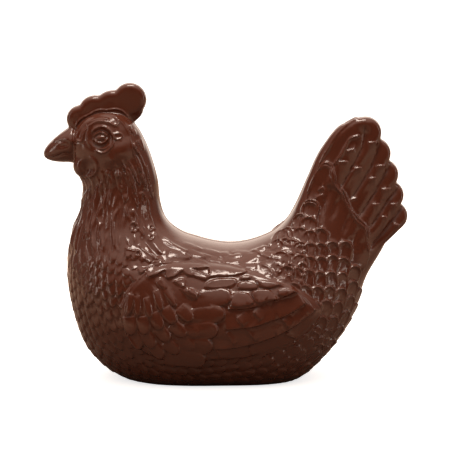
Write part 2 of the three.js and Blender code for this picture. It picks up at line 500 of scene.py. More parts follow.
@dataclass(frozen=True)
class Patch:
    """An area in the side view that is raised, or sunk where its height is negative."""

    MARGIN: ClassVar[float] = 0.5  # how far beyond its own box its skin is looked for

    outline: Sequence[Flat]
    height: float
    edge: float
    level: bool = False  # True lifts the area to its height, and False adds to what is there
    top_edge: float | None = None  # the edge's width where the area is highest, if it is another one

    def cut(self, relief: Relief) -> None:
        """Cuts the area into the relief."""
        outline = ring(self.outline)
        index, flat = relief.beside(outline, self.MARGIN)
        edge: float | Array = self.edge
        if self.top_edge is not None:
            low, high = outline[:, 1].min(), outline[:, 1].max()
            edge = edge + (self.top_edge - edge) * smooth(2 * (flat[:, 1] - low) / (high - low) - 1)
        shape = self.height * np.sin(np.pi / 2 * np.clip(within(flat, outline) / edge, 0, 1))
        shape = shape * relief.turned[index]
        if self.level:
            relief.raise_to(index, shape)
        else:
            relief.add(index, shape)


@dataclass(frozen=True)
class Swell:
    """A smooth oval swelling in the side view, or a hollow where its height is negative."""

    x: float
    z: float
    wide: float
    high: float
    height: float
    tilt: float = 0.0
    power: float = 1.5  # 0.5 is a dome with a sharp foot, and more eases the foot into the skin

    def cut(self, relief: Relief) -> None:
        """Adds the swelling to the relief."""
        reach = max(self.wide, self.high)
        index, flat = relief.beside(np.array([(self.x, self.z)]), reach)
        turn = math.radians(self.tilt)
        local = flat - (self.x, self.z)
        u = (local[:, 0] * math.cos(turn) + local[:, 1] * math.sin(turn)) / self.wide
        v = (local[:, 1] * math.cos(turn) - local[:, 0] * math.sin(turn)) / self.high
        shape = np.clip(1 - u**2 - v**2, 0, 1) ** self.power
        relief.add(index, self.height * shape * relief.turned[index])


class Loop(NamedTuple):
    """A small raised ring with a sunken middle, in the side view."""

    x: float
    z: float
    wide: float
    high: float
    tilt: float = 0.0
    raised: float = 0.36
    width: float = 0.37
    sunk: float = 0.3

    def cut(self, relief: Relief) -> None:
        """Cuts the loop into the relief."""
        Swell(self.x, self.z, self.wide, self.high, -self.sunk, self.tilt, power=0.8).cut(relief)
        line = tilted(oval(self.x, self.z, self.wide, self.high), self.x, self.z, self.tilt)
        Cut(line, depth=-self.raised, width=self.width, fade=0).cut(relief)


# ---- Solid forms ----


class Station(NamedTuple):
    """A section of the hull: its ends on the parting plane, half its width, and its squareness."""

    back: Flat
    front: Flat
    half: float
    square: float


@dataclass(frozen=True)
class Hull:
    """Head, neck, body and the core of the tail, drawn out along a line from crown to tail."""

    stations: tuple[Station, ...] = (
        Station((-48, 110.5), (-50, 110.5), 0, 2),
        Station((-41, 108.5), (-58, 107), 9.2, 2.1),
        Station((-36.5, 104), (-62.5, 101.5), 11.6, 2.2),
        Station((-33.2, 98), (-63.5, 95.5), 12.6, 2.2),
        Station((-30.4, 90.5), (-61.8, 88), 12.8, 2.2),
        Station((-28.2, 82), (-58.8, 80), 13, 2.1),
        Station((-27.2, 73), (-59.4, 72), 15, 2.1),
        Station((-24.6, 66), (-63, 62), 18.5, 2.1),
        Station((-18.5, 60.8), (-65.4, 49), 24, 2.1),
        Station((-12, 58.5), (-64.3, 33), 29, 2.1),
        Station((-5.5, 56.8), (-55.5, 10), 32.5, 2.1),
        Station((1.2, 56), (-31, -5), 34, 2.1),
        Station((7.8, 56.6), (-3, -7), 34, 2.1),
        Station((14, 58.4), (24, -4), 32.5, 2.1),
        Station((20, 61.3), (42.5, 11), 28, 2.2),
        Station((25.2, 66.2), (53, 27), 20.5, 2.3),
        Station((29.4, 73.6), (58, 42), 14, 2.6),
        Station((33.8, 83.5), (64.8, 54), 9.0, 3),
        Station((39.5, 95.3), (70.5, 67), 6.2, 3.4),
        Station((49, 105.2), (68, 84), 4.6, 3.6),
        Station((58.5, 101), (60.5, 99), 0, 3.6),
    )
    rings: int = 200
    around: int = 144

    def point(self, along: Array, angle: Array) -> Array:
        """Places on the hull.

        Args:
            along: from 0 at the crown to 1 at the tail's tip.
            angle: from 0 on the back, over one side, to pi on the front or belly.

        Returns:
            One row of x, y and z for each pair.
        """
        back = curve([s.back for s in self.stations], along)
        front = curve([s.front for s in self.stations], along)
        half, square = curve([(s.half, s.square) for s in self.stations], along).T
        across, over = np.sin(angle), np.cos(angle)
        over = np.sign(over) * np.abs(over) ** (2 / square)
        flat = back + (front - back) * ((1 - over) / 2)[:, None]
        side = half * np.sign(across) * np.abs(across) ** (2 / square)
        return np.stack([flat[:, 0], side, flat[:, 1]], axis=1)

    def shell(self) -> Shell:
        """The hull, cut flat at the surface it stands on."""
        along = np.repeat(np.linspace(0, 1, self.rings), self.around)
        angle = np.tile(np.linspace(0, 2 * np.pi, self.around, endpoint=False), self.rings)
        points = self.point(along, angle).reshape(self.rings, self.around, 3)
        points[..., 2] = np.maximum(points[..., 2], 0)
        return spun(points)


class Lobe(NamedTuple):
    """A round lobe of the comb in the side view."""

    x: float
    z: float
    radius: float


@dataclass(frozen=True)
class Comb:
    """The comb, a thick plate of rounded lobes that widens where it meets the head."""

    lobes: tuple[Lobe, ...] = (
        Lobe(-59.8, 107.2, 5.5),
        Lobe(-53.8, 110.2, 6.6),
        Lobe(-46.3, 110.8, 8.1),
        Lobe(-39.4, 115.2, 6.7),
    )
    half: float = 3.0
    rim: float = 2.0
    ridge: Flat = (-49, 107.5)
    ridge_size: Triple = (31, 5.6, 12)
    lean: float = 15  # degrees, which raise its rear end

    def shells(self) -> list[Shell]:
        """The comb's lobes, and the ridge that they stand on."""
        made = [plate(oval(b.x, b.z, b.radius, b.radius)[:-1], self.half, self.rim) for b in self.lobes]
        ridge = blob(np.zeros(3), np.array(self.ridge_size) / 2)
        turn = math.radians(self.lean)
        x, y, z = ridge.points.T
        level, rise = math.cos(turn), math.sin(turn)
        leant = np.stack([x * level - z * rise, y, x * rise + z * level], axis=1)
        return made + [Shell(leant + (self.ridge[0], 0, self.ridge[1]), ridge.faces)]


@dataclass(frozen=True)
class Horn:
    """A drooping cone from its root in the face to a blunt tip: the beak, or its lower jaw."""

    tip: Flat
    root: Flat
    high: float
    wide: float
    slope: float = 0.3
    bluntness: float = 2.2
    opening: float = 4  # how fast it reaches its full size at the root
    crowding: float = 0.8  # below 1, its rings stand closer towards the tip
    rings: int = 40
    around: int = 48

    def shell(self) -> Shell:
        """The cone, as rings that shrink towards the tip."""
        share = np.linspace(0, 1, self.rings) ** self.crowding
        round_ = np.linspace(0, 2 * np.pi, self.around, endpoint=False)
        size = np.sqrt(np.clip(1 - share**self.bluntness, 0, 1)) * (1 - self.slope * share)
        size *= np.minimum(1, self.opening * share)
        x = self.root[0] + (self.tip[0] - self.root[0]) * share
        z = self.root[1] + (self.tip[1] - self.root[1]) * share
        rings = np.stack(
            [
                x[:, None] + 0 * round_,
                self.wide / 2 * size[:, None] * np.sin(round_),
                z[:, None] + self.high / 2 * size[:, None] * np.cos(round_),
            ],
            axis=-1,
        )
        return spun(rings)


@dataclass(frozen=True)
class Head:
    """What the head carries besides the comb: beak, lower jaw and the two wattles."""

    beak: Horn = Horn(tip=(-75, 92.8), root=(-59, 98.6), high=16.5, wide=15)
    jaw: Horn = Horn(tip=(-71.5, 92), root=(-57, 92.4), high=7.4, wide=11)
    wattle: Triple = (-57.6, 5.4, 88.4)
    wattle_size: Triple = (5, 4.4, 5)

    def shells(self) -> list[Shell]:
        """The beak's two halves and the wattles."""
        size = np.array(self.wattle_size)
        wattles = [blob(np.array(self.wattle) * (1, side, 1), size) for side in (-1, 1)]
        return [self.beak.shell(), self.jaw.shell(), *wattles]


@dataclass(frozen=True)
class Fan:
    """The outer part of the tail: plates with round ends, spread like a hand of cards, and a web."""

    blades: int = 5
    half: float = 4.0
    taper: float = 0.13  # how much it thickens towards the root, for each millimetre
    rim: float = 2.0
    length: float = 26
    foot: float = 0.7  # half a plate's width at its root, as a share of its radius
    bow: float = 1.6
    first: tuple[float, float, float, float] = (57.2, 101.6, 6.5, 60)  # x, z, radius and lean
    last: tuple[float, float, float, float] = (69.2, 67.2, 5.6, 47)
    web: Path = (
        (58, 80), (61.5, 99), (60.2, 106.6), (57.2, 108.1), (53.2, 107.5), (49.2, 105.3), (44.8, 101.3),
        (39.9, 95), (37.3, 88.5), (42, 80),
    )
    web_half: float = 4.8
    web_rim: float = 2.6

    def shells(self) -> list[Shell]:
        """One plate for each tail feather, and one that joins them to the tail's front edge."""
        made = [plate(np.array(self.web), self.web_half, self.web_rim)]
        for t in np.linspace(0, 1, self.blades):
            x, z, radius, lean = np.array(self.first) * (1 - t) + np.array(self.last) * t
            end = oval(0, 0, radius, radius, -90, 90)
            foot = radius * self.foot
            outline = np.vstack([(-self.length, -foot), end, (-self.length, foot)])
            placed = tilted(outline, 0, 0, lean) + (x + self.bow * math.sin(math.pi * t), z)
            made.append(plate(placed, self.half + self.taper * (radius - outline[:, 0]), self.rim))
        return made


# ---- Feathers and features ----


class Seam(Enum):
    """The two stretches of the mould's seam that lines of feathers keep their distance from."""

    FRONT = "breast, belly and rear"
    BACK = "neck, saddle and tail"


class Line(NamedTuple):
    """One line of a tract, step by step from head to tail."""

    number: int
    path: Array
    passed: Array  # how far along the line each step is
    gap: Array  # from this line to the next
    reached: Array  # whether the tract has feathers there


@dataclass(frozen=True)
class Tract:
    """A run of small feathers of one kind, in lines from head to tail."""

    LOW_AT_EDGE: ClassVar[float] = 0.15  # the height of feathers that face along the parting plane
    SIDEWAYS: ClassVar[float] = 0.55  # how far a feather must face sideways for its whole height
    SEARCH: ClassVar[float] = 2.5  # how far from the hull its skin is looked for
    LAST_GAP: ClassVar[float] = 0.3  # the share of a gap that the last line keeps free
    WAVES: ClassVar[Flat] = (16, 30)  # the length of a strand's waves
    SWELLS: ClassVar[Flat] = (9, 17)  # the length over which a strand thins out and swells
    SWAY: ClassVar[float] = 0.3  # how far a strand sways, as a share of the gap
    SPLAY: ClassVar[float] = 0.8  # how much of the sway goes across the parting plane
    STRENGTH: ClassVar[Flat] = (0.75, 0.42)  # a strand's mean strength, and how much it varies
    STEP: ClassVar[float] = 0.45  # from one touch of the tool to the next along a strand
    TOUCH: ClassVar[float] = 3  # how far a touch reaches, in widths of the strand's edge
    STRAND_END: ClassVar[float] = 1.0  # the length that a strand takes up where it may not go on
    HALF_TURN: ClassVar[int] = 90  # places round a half section of the hull

    name: str
    start: float  # where it starts and stops along the hull
    stop: float
    gaps: Flat  # from line to line, at the start and at the stop
    pitches: Flat  # from feather to feather, at the start and at the stop
    first: Feather
    last: Feather
    seam: Seam = Seam.FRONT
    bare: float = 0.0  # the strip beside the seam that has no feathers
    bare_far: float = 0.0  # and the one beside the opposite seam
    reach: float = 200.0  # how far from the seam the lines go
    spread: bool = False  # whether the lines part as the body widens, or keep their distance
    stagger: float = 0.5  # the shift of every second line, as a share of the pitch
    widen: float = 1.15  # a feather's width as a share of the gap
    unevenness: float = 0.05
    steps: int = 200

    def sections(self, hull: Hull) -> tuple[Array, Array]:
        """The hull's half sections, from this tract's seam to the other one.

        Returns:
            The places by step and angle, and how far each is from the seam.
        """
        turns = np.linspace(0, np.pi, self.HALF_TURN)
        if self.seam is Seam.FRONT:
            turns = turns[::-1]
        along = np.repeat(np.linspace(self.start, self.stop, self.steps), len(turns))
        grid = hull.point(along, np.tile(turns, self.steps)).reshape(self.steps, len(turns), 3)
        run = np.linalg.norm(np.diff(grid, axis=1), axis=2)
        return grid, np.concatenate([np.zeros((self.steps, 1)), np.cumsum(run, axis=1)], axis=1)

    def lines(self, hull: Hull) -> Iterator[Line]:
        """The tract's lines, counted from its seam."""
        grid, girth = self.sections(hull)
        share = np.linspace(0, 1, self.steps)
        gap = self.gaps[0] + (self.gaps[1] - self.gaps[0]) * share
        most = min(self.reach, float(girth[:, -1].max()))
        if self.spread:
            gap = self.gaps[0] * girth[:, -1] / girth[0, -1]
            most = float(girth[0, -1])
        for line in range(int((most - self.bare) / gap.min())):
            off = self.bare + (line + 0.5) * gap
            path = np.array(
                [[np.interp(off[i], girth[i], grid[i, :, k]) for k in range(3)] for i in range(self.steps)]
            )
            reached = (off < girth[:, -1] - self.LAST_GAP * gap - self.bare_far) & (off < self.reach)
            passed = np.concatenate([[0], np.cumsum(np.linalg.norm(np.diff(path, axis=0), axis=1))])
            yield Line(line, path, passed, gap, reached)

    def cut(self, relief: Relief, hull: Hull, open_to: "Plumage", dice: np.random.Generator) -> None:
        """Cuts the tract line by line.

        Args:
            relief: the heights to cut into.
            hull: the hull that the lines run over.
            open_to: what says where feathers may be.
            dice: the source of the unevenness.
        """
        share = np.linspace(0, 1, self.steps)
        for line in self.lines(hull):
            now = self.pitches[0] * (self.stagger if line.number % 2 else 0.0)
            while now < line.passed[-1]:
                i = int(np.searchsorted(line.passed, now))
                shift = dice.normal(0, self.unevenness, 4)
                pitch = self.pitches[0] + (self.pitches[1] - self.pitches[0]) * share[i]
                now += pitch * (1 + shift[0])
                middle = line.path[i]
                way = line.path[min(i + 2, self.steps - 1)] - line.path[max(i - 2, 0)]
                feather = self.first.mixed(self.last, share[i])
                if not line.reached[i] or not open_to.feathered(middle, way, feather.length):
                    continue
                index, local = relief.near(middle, self.SEARCH)
                if not len(index):
                    continue
                out = relief.out[index[np.argmin(np.linalg.norm(local, axis=1))]]
                sideways = float(smooth(out[1] / self.SIDEWAYS))
                turned = self.LOW_AT_EDGE + (1 - self.LOW_AT_EDGE) * sideways
                sized = replace(
                    feather,
                    width=float(line.gap[i] * self.widen * (1 + shift[2])),
                    height=feather.height * (1 + 2 * shift[3]) * turned,
                )
                sized.cut(relief, middle, way + np.cross(out, way) * shift[1] * 2, out)

    def strands(self, relief: Relief, hull: Hull, open_to: "Plumage", dice: np.random.Generator) -> None:
        """Cuts the tract as long wavy strands, which thin out and swell as they run.

        Args:
            relief: the heights to cut into.
            hull: the hull that the lines run over.
            open_to: what says where strands may be.
            dice: the source of the waves.
        """
        across = np.array([0.0, 1.0, 0.0])
        mean, change = self.STRENGTH
        for line in self.lines(hull):
            wave, swell = dice.uniform(*self.WAVES), dice.uniform(*self.SWELLS)
            start = dice.uniform(0, 2 * math.pi, 2)
            way = np.gradient(line.path, axis=0)
            side = np.cross(way, across)
            side += across * np.linalg.norm(way, axis=1, keepdims=True) * self.SPLAY
            side /= np.linalg.norm(side, axis=1, keepdims=True)
            sway = self.SWAY * line.gap * np.sin(2 * math.pi * line.passed / wave + start[0])
            path = line.path + side * sway[:, None]
            strength = smooth(mean + change * np.sin(2 * math.pi * line.passed / swell + start[1]))
            for now in np.arange(0, line.passed[-1], self.STEP):
                place = np.array([np.interp(now, line.passed, path[:, k]) for k in range(3)])
                i = min(int(np.searchsorted(line.passed, now)), self.steps - 1)
                if not line.reached[i] or not open_to.feathered(place, way[i], self.STRAND_END):
                    continue
                index, local = relief.near(place, self.TOUCH * self.first.edge)
                far = (local**2).sum(axis=1) / self.first.edge**2
                relief.raise_to(index, self.first.height * strength[i] * np.exp(-far))


@dataclass(frozen=True)
class Plumage:
    """The small feathers of neck, breast, belly, saddle and rump."""

    hull: Hull
    hackles: Tract = Tract(
        "hackles", 0.17, 0.43, (2.0, 2.0), (1, 1),
        Feather(0, 0, 0.55, edge=0.65), Feather(0, 0, 0.55, edge=0.65), bare_far=14.0, spread=True,
    )
    tracts: tuple[Tract, ...] = (
        Tract(
            "breast", 0.40, 0.705, (3.3, 4.7), (4.0, 5.8),
            Feather(6.6, 0, 0.95, root=0.1, shoulder=0.3, point=1.9, edge=1.0, crown=0.4),
            Feather(8.8, 0, 1.3, root=0.1, shoulder=0.35, point=1.9, edge=1.2, crown=0.4),
            bare_far=30.0, widen=1.4, unevenness=0.07,
        ),
        Tract(
            "saddle", 0.46, 0.66, (4.4, 4.8), (7.2, 6.0),
            Feather(10, 0, 0.55, root=0.1, shoulder=0.45, point=2.0, edge=1.7, crown=0.5),
            Feather(8.5, 0, 0.6, root=0.1, shoulder=0.5, point=2.0, edge=1.5, crown=0.4),
            seam=Seam.BACK, bare=13.0, reach=33.0, unevenness=0.12,
        ),
        Tract(
            "rump", 0.69, 0.93, (7.3, 7.0), (6.2, 6.2),
            Feather(8.2, 0, 1.3, root=0.08, shoulder=0.5, point=2.1, edge=1.0, crown=0.2, dish=0.6, rim=1.3),
            Feather(8.6, 0, 1.5, root=0.08, shoulder=0.5, point=2.2, edge=1.0, crown=0.2, dish=0.65, rim=1.3),
            stagger=0.0, widen=1.08, bare=5.0, bare_far=9.0,
        ),
        Tract(
            "rear", 0.69, 0.90, (7.3, 7.0), (6.2, 6.2),
            Feather(7.5, 0, 0.6, root=0.3, shoulder=0.5, point=2.1, edge=1.2, crown=0.2),
            Feather(7.5, 0, 0.6, root=0.3, shoulder=0.5, point=2.2, edge=1.2, crown=0.2),
            stagger=0.0, widen=1.08, reach=5.0,
        ),
    )
    face_edge: Path = (
        (-44.1, 107.3), (-42.7, 106.8), (-41.1, 105), (-39.8, 102.6), (-38.8, 100.2), (-38.6, 97.1),
        (-37.8, 94.2), (-37, 92.2), (-36, 89),
    )
    chin: float = 86.5
    lowest: float = 0.5  # no feather has its middle below this
    covert_edge: Path = (
        (30, 75), (35.1, 75.2), (38.7, 69.7), (40.3, 68), (42.8, 66.1), (45.2, 60.6), (49.4, 59.5),
        (51, 54.6), (54.8, 47.8), (56.5, 42), (60, 30),
    )

    def feathered(self, place: Array, way: Array, length: float) -> bool:
        """Says whether a feather may lie at a place, which the face and the tail rule out.

        Args:
            place: the middle of the feather.
            way: its direction.
            length: its length.

        Returns:
            False for a feather on the face, on the tail or under the base.
        """
        x, _, z = place
        edge = np.array(self.face_edge)
        on_face = z > self.chin and x < np.interp(-z, -edge[:, 1], edge[:, 0])
        tip = place + way / np.linalg.norm(way) * length / 2
        border = np.array(self.covert_edge)
        on_tail = tip[0] > border[0, 0] and tip[2] > np.interp(tip[0], border[:, 0], border[:, 1])
        return not (on_face or on_tail or z < self.lowest)

    def cut(self, relief: Relief) -> None:
        """Cuts every tract."""
        dice = np.random.default_rng(SEED)
        self.hackles.strands(relief, self.hull, self, dice)
        for tract in self.tracts:
            tract.cut(relief, self.hull, self, dice)
        log.info("cut the feathers of %s", ", ".join(t.name for t in (self.hackles, *self.tracts)))


@dataclass(frozen=True)
class Neck:
    """The crisp feathers down the back of the neck, and the fold where they end over the shoulder."""

    wires: tuple[Path, ...] = (
        ((-36.2, 95.3), (-34.6, 92.0), (-32.6, 86.2), (-31.6, 81)), ((-39.9, 105.9), (-38.7, 104.0)),
        ((-37.9, 103.6), (-37.1, 102.2), (-36.7, 100.6)), ((-37.6, 98.4), (-37.4, 96.2), (-36.2, 93.5)),
        ((-39.9, 91.3), (-38.6, 89.1), (-37.6, 86.4), (-37.0, 83.9)),
        ((-42.7, 91.8), (-41.8, 90.0), (-41.0, 88.1)), ((-45.4, 90.2), (-44.2, 87.5), (-43.8, 84.0)),
        ((-48.3, 87.8), (-47.9, 83.4), (-48.8, 78.2)), ((-35.2, 99.8), (-34.2, 97.2), (-33.6, 94.6)),
        ((-36.0, 89.5), (-34.9, 85.5), (-33.8, 82.0), (-33.6, 78.5)),
        ((-40.0, 88.5), (-38.4, 84.5), (-37.5, 80.5), (-37.3, 77.5)),
        ((-33.0, 76.6), (-31.8, 73.8), (-31.4, 70.2), (-30.1, 66.2), (-28.9, 62.8)),
        ((-36.1, 64.4), (-34.8, 63.3), (-33.2, 61.7)),
        ((-35.1, 58.5), (-34.3, 57), (-33.5, 56.3), (-30.6, 54.4), (-27.4, 52.8), (-26.2, 53.3)),
        ((-41.1, 56.7), (-37.5, 56.0), (-34.7, 55.9)),
        ((-33.8, 53.4), (-30.9, 51.9), (-27.3, 51.7), (-24.5, 51.8)),
        ((-26.0, 60.2), (-22.7, 58.2), (-19.5, 56.7), (-15.4, 54.8)),
        ((-25.5, 59.1), (-22.7, 57.4), (-18.6, 55.6), (-15.8, 53.8)),
        ((-38.2, 62.5), (-37.0, 68.0), (-37.8, 72.0)),
    )
    strands: tuple[Path, ...] = (
        ((-55.5, 80.1), (-60.2, 70.8), (-62.6, 60.4), (-63.6, 53.2)),
        ((-53.9, 82.3), (-56.0, 75.5), (-58.2, 68.9), (-60.5, 61.0), (-61.4, 51.5)),
        ((-51.7, 82.5), (-53.2, 76.7), (-55.0, 70.6), (-56.6, 65.0), (-55.2, 58.3)),
        ((-49.7, 85.7), (-50.9, 79.6), (-52.8, 73.7), (-53.8, 68.0), (-54.1, 61.1), (-52.8, 54.1)),
        ((-47.9, 80.6), (-49.4, 73.9), (-51.6, 68.8), (-50.6, 61.9), (-49.4, 54.3)),
        ((-46.0, 85.7), (-46.7, 79.8), (-47.5, 74.0), (-47.9, 68.3)),
        ((-43.0, 73.3), (-45.2, 69.0), (-45.8, 62.7), (-45.0, 58.6), (-42.7, 54.6)),
        ((-41.4, 75.4), (-40.6, 70.7), (-38.9, 66.8)), ((-44.3, 80.2), (-43.4, 77.0), (-43.8, 74.3)),
    )
    leaves: tuple[Laid, ...] = (
        (-35.1, 81.4, -72, 8.5, 2.6), (-32.6, 80.0, -72, 6, 1.8),
        (-35.5, 93.4, -62, 5.5, 1.8), (-34.0, 95.2, -66, 4.5, 1.5), (-37.6, 80.0, -75, 7.5, 2.4),
        (-30.9, 82.5, -74, 7, 1.8), (-29.7, 75.5, -72, 6, 1.8), (-36.2, 72.5, -80, 6.5, 2.2),
        (-41.0, 74.0, -88, 8, 2.6), (-38.0, 101.5, -70, 4, 1.3),
    )
    loops: tuple[Loop, ...] = (
        Loop(-37.3, 64.7, 1.3, 1.8, 25), Loop(-30.5, 64.1, 0.7, 0.9), Loop(-30.2, 60.7, 0.8, 0.9),
        Loop(-35.4, 54.8, 1.1, 0.8), Loop(-41.2, 87.1, 0.7, 1.6, 25), Loop(-33.6, 75.8, 0.6, 2.4, 12),
    )
    bumps: Path = (
        (-43.8, 85.9), (-42.6, 80.2), (-40.6, 76.2), (-38.1, 70.3), (-46.2, 91.6), (-24.6, 55.4),
    )
    fold: Path = ((-34.6, 62.4), (-32.6, 59.6), (-30.4, 57.2), (-27.6, 54.6), (-25, 53.6))
    pocket: Path = ((-42, 50.6), (-37.5, 51), (-33.5, 50.9), (-29.5, 51.3), (-25, 51.3))
    wing_top: Path = ((-34.2, 47.4), (-31.7, 49.5), (-29.7, 50.4), (-26.5, 51.0), (-21.5, 51.3))
    leaf: Feather = Feather(0, 0, 0.45, root=0.6, shoulder=0.35, point=1.2, edge=0.4, dish=0.8, rim=0.5)
    leaf_base: float = 0.15
    bump: Swell = Swell(0, 0, wide=1.3, high=1.8, height=0.38, tilt=20, power=1.3)

    def cut(self, relief: Relief) -> None:
        """Cuts the neck's single features on both sides."""
        for x, z, angle, length, width in self.leaves:
            replace(self.leaf, length=length, width=width).laid(relief, (x, z), angle, self.leaf_base)
        Cut(self.fold, depth=0.9, width=1.2, fade=3).cut(relief)
        Cut(self.pocket, depth=0.8, width=1.6, fade=4).cut(relief)
        for line in self.strands:
            Cut(line, depth=-0.6, width=0.6, fade=4).cut(relief)
        for line in (*self.wires, self.wing_top):
            Cut(line, depth=-0.42, width=0.38, fade=0.8).cut(relief)
        for loop in self.loops:
            loop.cut(relief)
        for x, z in self.bumps:
            replace(self.bump, x=x, z=z).cut(relief)


@dataclass(frozen=True)
class Saddle:
    """The round bumps and small hollows between the wing and the smooth ridge of the back."""

    domes: tuple[Laid, ...] = (
        (15.6, 52.6, -8, 9, 4.6), (7.2, 52.1, -10, 7, 4.0), (22.6, 56.4, 6, 6.5, 4),
        (-5.6, 52.6, -12, 7, 3.6), (22.5, 53.2, -14, 7, 3), (27.4, 54.4, -16, 6, 2.6),
    )
    loops: tuple[Loop, ...] = (
        Loop(30.4, 55.9, 1.9, 1.3), Loop(25.3, 48.2, 1.7, 2.2, 0), Loop(30.6, 48.3, 2.0, 2.4, 0),
        Loop(21.2, 48.9, 1.2, 1.6, 30),
    )
    pits: tuple[tuple[float, float, float, float], ...] = (
        (-2.2, 51.7, 2.0, 0.9), (17.0, 55.9, 1.3, 1.0), (2.0, 53.5, 2.2, 0.6), (24.2, 58.4, 2.4, 0.7),
        (23.6, 51.0, 1.2, 0.8),
    )
    wires: tuple[Path, ...] = (
        ((10.5, 54.6), (12.5, 54.4), (15.2, 53.2), (17.5, 52.6), (21.8, 52.3)),
        ((21.4, 59.2), (23.4, 57.6), (27.5, 57.2)), ((24.8, 62.4), (26.2, 60.2), (27.4, 59.2)),
        ((14.2, 50.2), (17.2, 49.2), (18.6, 47.2), (18.4, 45.8)),
        ((24.6, 51.0), (27.6, 49.8), (29.0, 48.6)),
    )
    dome: Feather = Feather(0, 0, 0.45, root=0.2, shoulder=0.5, point=2.2, edge=1.7, crown=0.3)
    dome_base: float = 0.15
    pit: Swell = Swell(0, 0, 0, 0, height=-0.4, tilt=-6, power=1.5)

    def cut(self, relief: Relief) -> None:
        """Cuts the saddle's single features on both sides."""
        for x, z, angle, length, width in self.domes:
            replace(self.dome, length=length, width=width).laid(relief, (x, z), angle, self.dome_base)
        for x, z, wide, high in self.pits:
            replace(self.pit, x=x, z=z, wide=wide, high=high).cut(relief)
        for line in self.wires:
            Cut(line, depth=-0.34, width=0.4, fade=0.8).cut(relief)
        for loop in self.loops:
            loop.cut(relief)


class Chain(NamedTuple):
    """A chain of round feathers that runs down the front of the wing and back."""

    tips: Path
    first: float  # the angle of the one at the top, in degrees
    last: float  # and of the one at the foot


